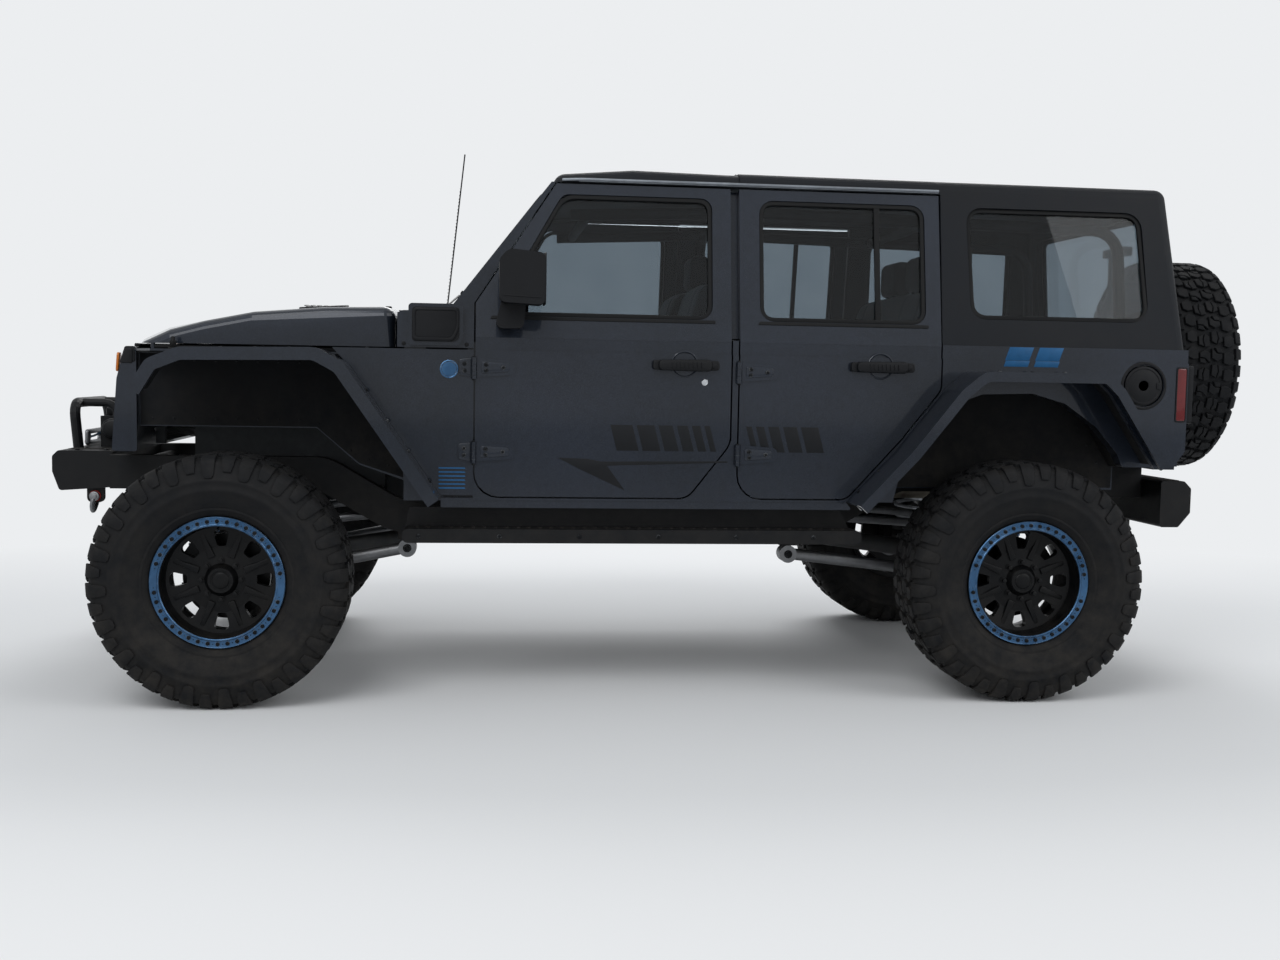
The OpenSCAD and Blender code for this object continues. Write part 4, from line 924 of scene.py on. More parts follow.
pair(window_seal("seal", QUARTER_WINDOW, radius=62), "quarter_window_seal", BLACK_RUBBER)
divider = plate("divider", [(-2440, up_lean(1446)), (-2462, up_lean(1446)), (-2462, up_lean(1898)),
        (-2440, up_lean(1898))], -14.5, -4, edge=2, place=LEANING)
pair(divider, "quarter_light_divider", BLACK_RUBBER, "rear_SIDE_door_body")
pair(door_card([(-1830, 1000), (-1700, 790), (-950, 790), (-950, 1330), (-1830, 1330)]),
    "front_door_card", CABIN, "front_SIDE_door_body")
pair(door_card([(-2640, 1210), (-2500, 1000), (-2330, 800), (-1960, 800), (-1960, 1330), (-2640, 1330)]),
    "rear_door_card", CABIN, "rear_SIDE_door_body")

lock = joined("lock", lathe("rim", [(0, 0), (13, 0), (13, 2.6), (11, 4.2), (8.5, 4.2), (8, 3), (0, 3)],
        (-1773, BODY_Y, 1202), closed=False, steps=32), block("slot", (-1774, 797.6, 1196),
        (-1772, 798.4, 1208), edge=0.3))
dressed(lock, CHROME, "front_left_door_body").name = "door_lock"

# Weather strip along the foot of the side windows
for end, x0, x1, body in (("front", -958, -1812, "front_SIDE_door_body"),
        ("rear", -1978, -2650, "rear_SIDE_door_body")):
    strip = plate("strip", rounded([(x0, up_lean(1424)), (x1, up_lean(1424)), (x1, up_lean(1437)),
                (x0 - 6, up_lean(1437))], 5), -3, 3.5, edge=2, place=LEANING)
    pair(strip, end + "_belt_strip", BLACK_RUBBER, body)

# Gutter along the top of the doors
gutter_lip = tube("lip", [(-1226, 699, 1958), (-1300, 699, 1962), (-2698, 697, 1962)], 5.5, bend=30)
gutter_web = block("web", (-2698, 688, 1954), (-1290, 697, 1959), edge=1.5)
pair(joined("gutter", gutter_lip, gutter_web), "gutter", BRIGHT_TRIM)


def decal(outline, thick=0.6, face=BODY_Y):
    """A thin vinyl shape on a body side."""
    return plate("decal", outline, face - 0.2, face + thick, edge=0.2)


def slanted_bars(places):
    """Leaning bars in one row, each with its front end and its width."""
    foot, top, slant = 938, 1036, 26
    return joined("bars", *(decal([(x, foot), (x - w, foot), (x - w + slant, top), (x + slant, top)])
                            for x, w in places))


# Graphics: twin blocks on the quarter, a bolt and tapering bars on the doors, thin lines low on the fender
for i, low_x in enumerate((-2950, -3072)):
    block_shape = [(low_x, 1284), (low_x - 98, 1284), (low_x - 106, 1307), (low_x - 8, 1307)]
    pair(decal(block_shape, 0.7), f"quarter_stripe_{i}", BLUE_VINYL)
    upper = [(low_x - 8, 1308), (low_x - 106, 1308), (low_x - 124, 1360), (low_x - 26, 1360)]
    pair(decal(upper, 0.7, SHOULDER_Y), f"upper_stripe_{i}", BLUE_VINYL)
bolt_mark = [(-1215, 909), (-1300, 866), (-1474, 786), (-1404, 880), (-1866, 896), (-1866, 902),
    (-1380, 896), (-1330, 906)]
pair(decal(bolt_mark), "front_door_graphic", DARK_VINYL, "front_SIDE_door_body")
front_bars = ((-1440, 84), (-1540, 68), (-1624, 54), (-1694, 42), (-1752, 32), (-1800, 22))
rear_bars = ((-1962, 22), (-2000, 32), (-2048, 42), (-2106, 54), (-2176, 68))
for end, places in (("front", front_bars), ("rear", rear_bars)):
    pair(slanted_bars(places), end + "_door_bars", DARK_VINYL, end + "_SIDE_door_body")
lines = row_of("lines", decal([(-772, 788), (-872, 788), (-868, 793), (-772, 793)]), (0, 0, 15), 6)
pair(lines, "fender_lines", BLUE_VINYL)

# Round plain badge on the cowl side
BADGE = (-808, BODY_Y, 1235)
badge_ring = lathe("ring", [(33, 0), (34, 2.4), (31, 3.4), (28.5, 2.6), (28, 0)], BADGE, steps=56)
badge_face = lathe("face", [(0, 0), (27, 0), (27, 1.2), (0, 2.2)], BADGE, steps=56, closed=False)
pair(joined("badge", badge_ring, badge_face), "cowl_badge", RING_BLUE)

# Fuel flap: bezel with screws on the body, ribbed face and thumb notch on the flap
FUEL = (-3527, BODY_Y, 1218)
bezel = lathe("bezel", [(83.5, -4), (84, 1.5), (87, 3.4), (92, 3), (95, 0), (94, -3)], FUEL)
screw = drum("screw", (FUEL[0], BODY_Y + 3, FUEL[2] + 89), (0, 1, 0), 3, 2, edge=0.5, sides=12)
screws = ring_of("screws", screw, at(*FUEL), "Y", 8)
dressed(joined("fuel_bezel", bezel, screws), TRIM, "chassis")
face = lathe("fuel_flap_face", [(0, 0), (20, 0), (22, 1.6), (60, 2.2), (63, 0.6), (66, 0.6), (68, 2.4),
        (74, 2.0), (76.5, 0), (76, -1), (0, -1)], FUEL, steps=96, closed=False)
notch = plate("notch", rounded([(-3597, 1204), (-3579, 1204), (-3579, 1232), (-3597, 1232)], 7), BODY_Y,
    BODY_Y + 4, edge=1.5)
dressed(joined("fuel_flap_face", face, notch), TRIM, "fuel_flap_body")

# Charge flap: raised panel, and plugs at the corners of its housing
panel = plate("panel", rounded([(-680, 1346), (-818, 1346), (-838, 1386), (-838, 1454), (-680, 1454)],
        14, 5), 820, 825, edge=3)
rim = plate("rim", [rounded([(-674, 1338), (-822, 1338), (-844, 1382), (-844, 1460), (-674, 1460)], 18,
            5), rounded([(-684, 1350), (-816, 1350), (-834, 1388), (-834, 1450), (-684, 1450)], 12, 5)],
    820, 828, edge=2)
dressed(joined("charge_flap_face", panel, rim), TRIM, "charge_flap_body")
plugs = [drum("plug", (x, SHOULDER_Y + 1.5, 1327), (0, 1, 0), 8, 5, edge=1.5, sides=20)
    for x in (-640, -872)]
dressed(joined("cowl_plugs", *plugs), TRIM, "chassis")

# Door mirror: silvered face, its rim and cap line, and the arm's bolt
mirror_face = plate("mirror_face", rounded([(892, 1482), (1004, 1484), (1004, 1650), (900, 1652)], 18,
        5), -1152.5, -1149.5, lie=END_ON, edge=1)
pair(mirror_face, "mirror_glass", CHROME, "front_SIDE_door_body")
rim = plate("rim", [rounded([(881, 1471), (1015, 1473), (1015, 1657), (890, 1661)], 22, 5),
        rounded([(893, 1483), (1003, 1485), (1003, 1649), (901, 1651)], 16, 5)], -1156, -1148,
    lie=END_ON, edge=2)
cap_line = plate("line", rounded([(-1004, 1500), (-1140, 1494), (-1140, 1499), (-1004, 1505)], 2), 1014,
    1018.5, edge=1)
pair(joined("mirror_trim", rim, cap_line, hex_bolt("bolt", (-1030, 842, 1400), (0, 0, -1), 6, 4)),
    "mirror_trim", TRIM, "front_SIDE_door_body")


# ---- Wheel wells ----

def beside(points, far):
    """An open path moved sideways, to its left."""
    spots = [Vector(point) for point in points]
    made = []
    for i, here in enumerate(spots):
        a = (spots[max(i, 1)] - spots[max(i, 1) - 1]).normalized()
        k = min(i, len(spots) - 2)
        b = (spots[k + 1] - spots[k]).normalized()
        out = Vector((-a.y - b.y, a.x + b.x)).normalized()
        made.append(here + out * far / out.dot(Vector((-a.y, a.x))))
    return made


def band(name, path, near, far, y0, y1, edge=0.6):
    """A strip that follows a path, from one sideways distance to another."""
    return plate(name, beside(path, near) + beside(path, far)[::-1], y0, y1, edge=edge)


def along(path, step, start=0.0):
    """Places at even steps along a path."""
    spots, made, left = [Vector(point) for point in path], [], start
    for a, b in zip(spots, spots[1:]):
        reach = (b - a).length
        while left <= reach:
            made.append(a.lerp(b, left / reach))
            left += step
        left -= reach
    return made


def rivets(name, places, y, axis=(0, 1, 0), radius=5.5):
    """Domed rivet heads at places given as x and z."""
    first = lathe("rivet", [(0, 2.6), (radius * 0.6, 2.0), (radius, 0), (0, -1)],
        (places[0][0], y, places[0][1]), axis, steps=10, closed=False)
    start = at(places[0][0], 0, places[0][1])
    heads = [copied(first, Matrix.Translation(at(x, 0, z) - start)) for x, z in places[1:]]
    return joined(name, first, *heads)


FRONT_LIP = bent([(300, 1150), (238, 1252), (130, 1296), (-345, 1304), (-440, 1252), (-778, 764)], 60)
REAR_LIP = bent([(-2336, 752), (-2530, 957), (-2640, 1096), (-2714, 1190), (-2800, 1262), (-3290, 1262),
        (-3352, 1204), (-3540, 918)], 60)
WELL = bent([(-2420, 790), (-2600, 1010), (-2760, 1205), (-2870, 1240), (-3210, 1240), (-3330, 1175),
        (-3500, 900)], 50)
FLARE_OUT = 1006

apron = [(355, 1004), (355, 1276), (-628, 1276), (-628, 812), (-462, 866), (-300, 1004)]
pair(plate("liner", apron, 574.4, 578, edge=1), "front_apron_liner", LINER)
pair(joined("rivets", rivets("low", along([(330, 1030), (-290, 1030), (-455, 892), (-600, 850)], 78,
            20), 578), rivets("high", along([(330, 1250), (-600, 1250)], 78, 20), 578)),
    "front_liner_rivets", POWDER)
pair(plate("ledge", rounded([(352, 578), (-628, 578), (-628, 742), (290, 742), (352, 640)], 20), 1278.5,
        1282.5, lie=FLAT, edge=1), "front_liner_top", LINER)
pair(band("lip_liner", FRONT_LIP, 8.4, 12, 748, FLARE_OUT - 92), "front_flare_liner", LINER)
pair(band("lip_liner", FRONT_LIP, 8.4, 12, FLARE_OUT - 62, FLARE_OUT - 15), "front_flare_edge_liner",
    LINER)
well_side = [(x, z) for x, z in WELL] + [(-3496, 796)]
pair(plate("liner", grown(well_side, -3), 610.4, 613.4, edge=1), "rear_well_liner", LINER)
pair(band("band", WELL, 18.4, 21.5, 613, 735), "rear_well_band", LINER)
pair(rivets("rivets", along(beside(WELL, 60), 84, 30), 613.4), "rear_liner_rivets", POWDER)
pair(band("lip_liner", REAR_LIP, 8.4, 12, 797, FLARE_OUT - 92), "rear_flare_liner", LINER)
pair(band("lip_liner", REAR_LIP, 8.4, 12, FLARE_OUT - 62, FLARE_OUT - 15), "rear_flare_edge_liner",
    LINER)

# Bolts along the flares, close to the body
for end, path in (("front", FRONT_LIP), ("rear", REAR_LIP)):
    ends = []
    rim = beside(path, 0)
    for a, b in zip(rim, rim[1:]):
        if (b - a).length > 70:
            out = Vector((-(b - a).y, (b - a).x)).normalized() * -1
            count = max(1, int((b - a).length // 110))
            for k in range(count):
                spot = a.lerp(b, (k + 0.5) / count)
                ends.append(hex_bolt("bolt", (spot.x, 836, spot.y), (out.x, 0, out.y), 6.5, 4.5))
    pair(joined("bolts", *ends), end + "_flare_bolts", BOLT_BLACK)

# Hood seal on the fender ledges and behind the grille
seal = tube("seal", [(302, 606, 1300), (-300, 668, 1300), (-600, 706, 1300)], 10.5, bend=40)
pair(seal, "hood_seal", BLACK_RUBBER)
front_seal = block("front_seal", (362, -560, 1297), (380, 560, 1312), edge=4)
dressed(front_seal, BLACK_RUBBER, "chassis")


# ---- Front ----

GRILLE_LEAN = math.atan(20 / 275)
GRILLE = Matrix.Translation(at(452, 0, 905)) @ Matrix.Rotation(-GRILLE_LEAN, 4, "Y") @ END_ON
LAMP_AT = (480, 1120)
LAMP_SEAT_X = 366


def lamp_lathe(name, profile, side, closed=True, steps=72):
    """A turned piece of a headlamp; its profile runs forward from the lamp's seat."""
    return lathe(name, profile, (LAMP_SEAT_X, side * LAMP_AT[0], LAMP_AT[1]), (1, 0, 0), steps, closed)


lamp_red = finish("red_lens", "4e0a0d", "641013", 0.12, 0.2, grain=(300.0, 0.05), Coat_Weight=0.6)
lamp_amber = finish("amber_lens", "a85a10", "c06c14", 0.12, 0.2, grain=(300.0, 0.05), Coat_Weight=0.6)
lamp_white = finish("reverse_lens", "b4b8bb", "c9cccf", 0.12, 0.2, grain=(300.0, 0.05), Coat_Weight=0.6)

housings, bowls, rings, domes = [], [], [], []
for side in SIDES:
    housings.append(lamp_lathe("shell", [(97, 0), (97, 60), (91, 64), (86, 61), (86, 52), (80, 40),
                (60, 14), (0, 14), (0, 0)], side, closed=False))
    bowls.append(lamp_lathe("bowl", [(84, 50), (72, 26), (50, 16), (26, 14), (26, 18), (48, 20),
                (69, 30), (80, 50)], side))
    for up in (-27, 27):
        bowls.append(lathe("eye", [(24, 0), (24, 22), (20, 26), (18, 22), (0, 22), (0, 0)],
                (382, side * LAMP_AT[0], LAMP_AT[1] + up), (1, 0, 0), 40, False))
        domes.append(ball("eye", (404, side * LAMP_AT[0], LAMP_AT[1] + up), (9, 18, 18), sides=24))
    rings.append(lamp_lathe("ring", [(78, 46), (82, 46), (82, 53), (78, 53)], side))
    domes.append(lamp_lathe("dome", [(85.5, 52), (70, 57), (40, 60.5), (0, 61.5), (0, 59), (40, 58),
                (69, 54.5), (85.5, 50)], side, closed=False))


def tail_pieces(side):
    """Tail lamp of one side: its housing, and the red, white and amber lenses from the top down."""
    y0, y1 = side * 665, side * 789
    low, high = min(y0, y1), max(y0, y1)
    shell = plate("shell", [rounded([(low, 1070), (high, 1070), (high, 1300), (low, 1300)], 12),
            rounded([(low + 9, 1079), (high - 9, 1079), (high - 9, 1291), (low + 9, 1291)], 8)],
        TUB_REAR_X - 26, TUB_REAR_X - 0.3, lie=END_ON, edge=3)
    back = block("back", (TUB_REAR_X - 12, low + 4, 1074), (TUB_REAR_X - 0.3, high - 4, 1296), edge=1)
    lenses = []
    for word, foot, top, radius, proud in (("red", 1164, 1289, 8, 22), ("white", 1122, 1161, 6, 21),
            ("amber", 1081, 1119, 6, 21)):
        outline = [(low + 11, foot), (high - 11, foot), (high - 11, top), (low + 11, top)]
        lenses.append(plate(word, rounded(outline, radius), TUB_REAR_X - proud, TUB_REAR_X - 12,
                lie=END_ON, edge=3))
    return joined("shell", shell, back), *lenses


tails = [tail_pieces(side) for side in SIDES]
shells = dressed(joined("lamp_housings", *housings, *(one[0] for one in tails)), TRIM, "chassis")
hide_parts("lamps")
dressed(joined("lamp_reflectors", *bowls), CHROME, "chassis")
dressed(joined("lamp_rings", *rings), lamp_white, "chassis")
dressed(joined("lamp_domes", *domes), LENS, "chassis")
dressed(joined("tail_red", *(one[1] for one in tails)), lamp_red, "chassis")
dressed(joined("tail_white", *(one[2] for one in tails)), lamp_white, "chassis")
dressed(joined("tail_amber", *(one[3] for one in tails)), lamp_amber, "chassis")

# Side lens of the tail lamp, where it wraps the body corner, and its frame
side_outline = [(TUB_REAR_X + 4, 1076), (TUB_REAR_X + 50, 1076), (TUB_REAR_X + 50, 1294),
    (TUB_REAR_X + 4, 1294)]
side_inner = [(TUB_REAR_X + 9, 1082), (TUB_REAR_X + 45, 1082), (TUB_REAR_X + 45, 1288),
    (TUB_REAR_X + 9, 1288)]
side_frame = plate("side_frame", [rounded(side_outline, 10), rounded(side_inner, 7)], BODY_Y - 0.2,
    BODY_Y + 3.4, edge=0.8)
pair(side_frame, "tail_side_frame", TRIM)
side_lens = plate("side_lens", rounded(side_inner, 7), BODY_Y - 0.2, BODY_Y + 2.4, edge=0.6)
pair(side_lens, "tail_side_lens", lamp_red)

# Grille: rim round the opening, wire mesh, lamp bezels, and the radiator behind
opening = [(-330, 65.2), (330, 65.2), (330, 326), (-330, 326)]
frame_rim = plate("rim", [rounded(grown(opening, 16), 26), rounded(grown(opening, -8), 16)], -8, 4,
    place=GRILLE, edge=2.5)
wires = [block("wire", (418, -334, z), (421, 334, z + 3), edge=0) for z in range(978, 1228, 17)]
uprights = row_of("uprights", block("upright", (415, -330, 972), (418, -327, 1228), edge=0), (0, 17, 0), 39)
dressed(joined("grille_trim", frame_rim, *wires, uprights), TRIM, "chassis")
bezels = []
for side in SIDES:
    outer, inner = [[(side * LAMP_AT[0] + radius * math.sin(a), 215.5 + radius * math.cos(a))
            for a in (math.tau * k / 48 for k in range(48))] for radius in (112, 98)]
    bezels.append(plate("bezel", [rounded(outer, 1, 1), inner], -6, 5, place=GRILLE, edge=3))
dressed(joined("lamp_bezels", *bezels), TRIM, "chassis")
fins = row_of("fins", block("fin", (322, -318, 930), (352, 318, 932.5), edge=0), (0, 0, 7), 42)
tanks = [block("tank", (318, side * 318 - 12, 920), (356, side * 318 + 12, 1236), edge=4) for side in SIDES]
dressed(joined("radiator", fins, *tanks), CAST, "chassis")
for side, word in HANDS:
    marker = plate("marker", rounded([(side * 560, 300), (side * 612, 300), (side * 612, 372),
                (side * 574, 372)][::side], 12), -3, 7, place=GRILLE, edge=3)
    dressed(marker, lamp_amber, "chassis").name = word + "_front_marker"
side_mark = plate("side_mark", rounded([(372, 1236), (420, 1236), (402, 1292), (372, 1292)], 8), 617.5,
    624, edge=2.5)
pair(side_mark, "side_marker", TRIM)
cap = plate("cap", rounded([(362, 1240), (412, 1240), (402, 1300), (362, 1300)], 10), 560, 621, edge=3)
pair(cap, "grille_corner", TRIM)

# Winch: rope on its drum, motor and gearbox ends, fairlead and hook
WINCH_X = 560
turns = []
for k in range(-13, 14):
    turns += [(k * 8.4 - 4.2, 44), (k * 8.4, 49.5)]
rope = lathe("rope", [(38.5, -113)] + [(r, y) for y, r in turns] + [(38.5, 113)],
    (WINCH_X, 0, 965), steps=40)
rope_blue = finish("rope_fibre", "1f3140", "2b4152", 0.8, 0.95, scale=40.0, grain=(900.0, 0.9))
dressed(rope, rope_blue, "chassis", 60)
ends = []
for side in SIDES:
    ends += [drum("motor", (WINCH_X, side * 164, 968), (0, 1, 0), 44, 36, edge=6),
        drum("cap", (WINCH_X, side * 188, 968), (0, 1, 0), 36, 14, edge=5)]
    ends += [hex_bolt("bolt", (WINCH_X + 32 * math.cos(a), side * 183, 968 + 32 * math.sin(a)),
            (0, side, 0), 4.5, 4) for a in (0.5, 1.75, 3.0, 4.25, 5.5)]
box = block("box", (512, -96, 1018), (608, 96, 1056), edge=10)
tie = [tube("tie", [(x, -120, 1008), (x, 120, 1008)], 6) for x in (520, 600)]
dressed(joined("winch_ends", *ends, box, *tie), WINCH, "chassis")
hawse = plate("hawse", [rounded([(-112, 896), (112, 896), (112, 962), (-112, 962)], 16),
        rounded([(-74, 916), (74, 916), (74, 942), (-74, 942)], 12)], 672, 688, lie=END_ON, edge=6)
dressed(hawse, LINKS, "chassis").name = "hawse"
lead = tube("lead", [(WINCH_X, 20, 1012), (640, 12, 950), (684, 6, 929), (700, 4, 928)], 4.5, bend=40)
dressed(lead, rope_blue, "chassis").name = "rope_lead"
hook = joined("hook", hoop("eye", (702, 4, 928), (0, 1, 0), 9, 4, sides=24, round_sides=8),
              tube("bend", [(708, 4, 922), (714, 4, 905), (708, 4, 898), (696, 4, 900)], 4.5, bend=10))
dressed(hook, finish("hook_red", "6d1412", "821b18", 0.4, 0.55, grain=(500.0, 0.2),
        wear=(0.3, "8a8d90")), "chassis")

# Bumper: bolts and tread pads on its top, shackles with soft washers
bolts = [hex_bolt("bolt", (x, side * y, 894), (0, 0, 1), 8, 5) for side in SIDES for x in (530, 640)
    for y in (250, 390)]
pads = [block("pad", (520, side * 300 - 40, 893.6), (690, side * 300 + 40, 896), edge=1) for side in SIDES]
dressed(joined("bumper_bolts", *bolts), BOLT_BLACK, "chassis")
dressed(joined("bumper_pads", *pads), LINER, "chassis")
isolator_red = finish("isolator_red", "7a1d18", "8f2620", 0.55, 0.7, grain=(700.0, 0.3), dust=(0.7, 0.25))


def shackle(x, y, z, way):
    """A bow shackle through a tab, its bow hanging, and the soft washers beside the tab."""
    bow = tube("bow", [(x, y - 26, z), (x + way * 8, y - 34, z - 32), (x + way * 14, y, z - 68),
            (x + way * 8, y + 34, z - 32), (x, y + 26, z)], 9.5, bend=40)
    pin = drum("pin", (x, y, z), (0, 1, 0), 10.5, 78, edge=1.5)
    eyes = [drum("eye", (x, y + d, z), (0, 1, 0), 19, 15, edge=3) for d in (-27, 27)]
    soft = [drum("soft", (x, y + d, z), (0, 1, 0), 22, 6, edge=1.5) for d in (-16, 16)]
    return joined("shackle", bow, pin, *eyes), joined("soft", *soft)


for end, x, z, way in (("front", 568, 716, 1), ("rear", -3856, 725, -1)):
    bow, soft = shackle(x, 398, z, way)
    pair(bow, end + "_shackle", LINKS)
    pair(soft, end + "_shackle_washers", isolator_red)

# Hood: latches, vents with louvres, washer jets
latch = joined("latch", tube("hook", [(214, 668, 1336), (214, 676, 1316), (214, 672, 1296)], 7,
        bend=10), block("strap", (202, 664, 1296), (226, 676, 1324), edge=4),
    block("foot", (198, 656, 1283), (230, 690, 1297), edge=4))
pair(latch, "hood_latch", BLACK_RUBBER)
for side, word in HANDS:
    fall = Matrix.Rotation(math.radians(-side * 3.2), 4, "X")
    pitch_up = Matrix.Rotation(math.radians(3.6), 4, "Y")
    sheet = Matrix.Translation(at(-300, side * 330, 1470.5)) @ fall @ pitch_up
    tray = plate("tray", [rounded([(-92, -88), (92, -66), (92, 66), (-92, 88)], 22),
            rounded([(-80, -75), (80, -55), (80, 55), (-80, 75)], 14)], -6, 7, place=sheet, edge=3)
    floor_of = plate("floor", rounded([(-84, -79), (84, -59), (84, 59), (-84, 79)], 12), -6, -1,
        place=sheet, edge=1)
    blade = plate("blade", [(-7, -66), (7, -66), (7, 66), (-7, 66)], -1.2, 1.2,
        place=sheet @ Matrix.Translation((-0.062, 0, 0.0018))
        @ Matrix.Rotation(math.radians(-28), 4, "Y"), edge=0.5)
    slats = row_of("slats", blade, (25, 0, 0.2), 6)
    dressed(joined("vent", tray, floor_of, slats), TRIM, "hood_body").name = word + "_hood_vent"
jets = [block("jet", (-566, side * 300 - 12, 1470), (-540, side * 300 + 12, 1484), edge=4)
    for side in SIDES]
dressed(joined("washer_jets", *jets), TRIM, "hood_body")

# Cowl grille, wipers and screen surround
louvres = row_of("louvres", block("louvre", (-640, -600, 1452), (-634, 600, 1457), edge=1), (-11, 0, 0), 13)
tray = block("tray", (-792, -690, 1450.6), (-616, 690, 1453), edge=1)
dressed(joined("cowl_grille", louvres, tray), TRIM, "chassis")
SCREEN_LEAN = Matrix.Rotation(-SCREEN_RAKE, 4, "Y")
SCREEN = Matrix.Translation(at(SCREEN_BASE[0], 0, SCREEN_BASE[1])) @ SCREEN_LEAN @ END_ON
screen_h = math.hypot(SCREEN_BASE[0] - SCREEN_TOP[0], SCREEN_TOP[1] - SCREEN_BASE[1])
glass_edge = [(-684, 70), (684, 70), (622, screen_h - 66), (-622, screen_h - 66)]
surround = plate("surround", [rounded(grown(glass_edge, 10), 56, 6),
        rounded(grown(glass_edge, -20), 40, 6)], -17, 2.5, place=SCREEN, edge=2)
dressed(surround, BLACK_RUBBER, "chassis").name = "screen_seal"
arms = []
for y in (40, 560):
    arms.append(drum("pivot", (-778, y, 1462), (0, 0, 1), 13, 22, edge=3, sides=24))
    arms.append(plate("arm", [(y - 8, 12), (y + 9, 12), (y - 292, 92), (y - 300, 84)], 20, 27,
            place=SCREEN, edge=2.5))
    arms.append(plate("blade", [(y - 560, 74), (y - 556, 88), (y - 44, 104), (y - 44, 90)], 2, 16,
            place=SCREEN, edge=3))
dressed(joined("wipers", *arms), TRIM, "chassis")
mirror_in = joined("mirror", block("mirror", (-1128, -118, 1742), (-1106, 118, 1806), edge=9, steps=3),
    tube("stem", [(-1106, 0, 1800), (-1080, 0, 1822)], 8))
dressed(mirror_in, CABIN, "chassis").name = "inner_mirror"

# Roof: rubber between the panels, and the foot and winding of the antenna
roof_seals = [block("seal", (-1905, -2.6, 2004), (-1290, 2.6, 2016), edge=1),
    block("seal", (-1911.5, -600, 2008), (-1908.5, 600, 2014.5), edge=1)]
dressed(joined("roof_seals", *roof_seals), BLACK_RUBBER, "chassis")
base = lathe("antenna_base", [(0, 0), (24, 0), (24, 4), (16, 10), (9, 30), (6, 44), (0, 46)],
    (-756, -726, 1451.5), (0, 0, 1), 32, False)
dressed(base, BLACK_RUBBER, "chassis")
coil = tube("antenna_wrap", [(-757 - 0.55 * k + 3.9 * math.cos(k * 1.9), -726 + 3.9 * math.sin(k * 1.9),
            1500 + k * 5) for k in range(0, 120)], 0.9, sides=2)
dressed(coil, TRIM, "chassis")


# ---- Rear ----

GATE_X = TUB_REAR_X - 16
handle_cup_rear = plate("cup", [rounded([(388, 1196), (520, 1196), (520, 1262), (388, 1262)], 14),
        rounded([(398, 1206), (510, 1206), (510, 1252), (398, 1252)], 10)], GATE_X - 5, GATE_X + 1,
    lie=END_ON, edge=2)
pull = plate("pull", rounded([(404, 1222), (504, 1222), (504, 1246), (404, 1246)], 8), GATE_X - 12,
    GATE_X - 3, lie=END_ON, edge=3)
plate_tray = plate("tray", [rounded([(395, 1016), (575, 1016), (575, 1146), (395, 1146)], 12),
        rounded([(405, 1026), (565, 1026), (565, 1136), (405, 1136)], 6)], GATE_X - 12, GATE_X + 1,
    lie=END_ON, edge=3)
lamp_hood = block("hood", (GATE_X - 24, 440, 1138), (GATE_X - 1, 530, 1150), edge=3)
dressed(joined("gate_trim", handle_cup_rear, pull, plate_tray, lamp_hood), TRIM, "tailgate_body")
blank = plate("blank_plate", rounded([(408, 1029), (562, 1029), (562, 1133), (408, 1133)], 6),
    GATE_X - 4, GATE_X + 0.5, lie=END_ON, edge=1)
dressed(blank, finish("blank_plate", "b9bcbe", "c9cbcd", 0.4, 0.5, grain=(500.0, 0.1), dust=(1.3, 0.2)),
    "tailgate_body")
strips = [block("strip", (GATE_X - 4, -585, z), (GATE_X + 1, 585, z + 7), edge=2) for z in (958, 1346)]
dressed(joined("gate_strips", *strips), BLACK_RUBBER, "tailgate_body")
REAR = Matrix.Translation(at(TUB_REAR_X, 0, BELT_Z)) @ Matrix.Rotation(math.radians(5.2), 4, "Y") @ END_ON
pane = [(-575, 26), (575, 26), (548, 552), (-548, 552)]
rear_seal = plate("seal", [rounded(grown(pane, -0.6), 50, 6), rounded(grown(pane, -20), 40, 6)], 4, 24,
    place=REAR, edge=3)
dressed(rear_seal, BLACK_RUBBER, "chassis").name = "rear_window_seal"
dressed(joined("glass_hinges", *[block("hinge", (TUB_REAR_X + 30, y - 32, 1908),
            (TUB_REAR_X + 68, y + 32, 1926), edge=5) for y in (-360, 360)]), TRIM, "chassis")
wiper_arm = plate("arm", [(-10, 20), (10, 20), (170, 120), (160, 132)], -6, 2, place=REAR, edge=2)
wiper_blade = plate("blade", [(-60, 96), (-54, 84), (300, 190), (296, 202)], 2, 9, place=REAR, edge=2)
dressed(joined("rear_wiper", wiper_arm, wiper_blade), TRIM, "chassis")
high_lens = plate("lens", rounded([(-84, 1797), (84, 1797), (84, 1827), (-84, 1827)], 8),
    TUB_REAR_X - 90, TUB_REAR_X - 84, lie=END_ON, edge=2)
dressed(high_lens, lamp_red, "tailgate_body").name = "high_brake_lens"
plate_bolts = [hex_bolt("bolt", (TUB_REAR_X - 60.5, y, z), (-1, 0, 0), 9, 5)
    for y in (-330, -230, 230, 330) for z in (1030, 1270)]
dressed(joined("carrier_bolts", *plate_bolts), BOLT_BLACK, "tailgate_body")
gate_bolts = [hex_bolt("bolt", (TUB_REAR_X - 30, y, z + d), (-1, 0, 0), 7, 4) for z in (1010, 1260)
    for y in (-560, -500, -430) for d in (-20, 20)]
dressed(joined("gate_hinge_bolts", *gate_bolts), BOLT_BLACK, "tailgate_body")

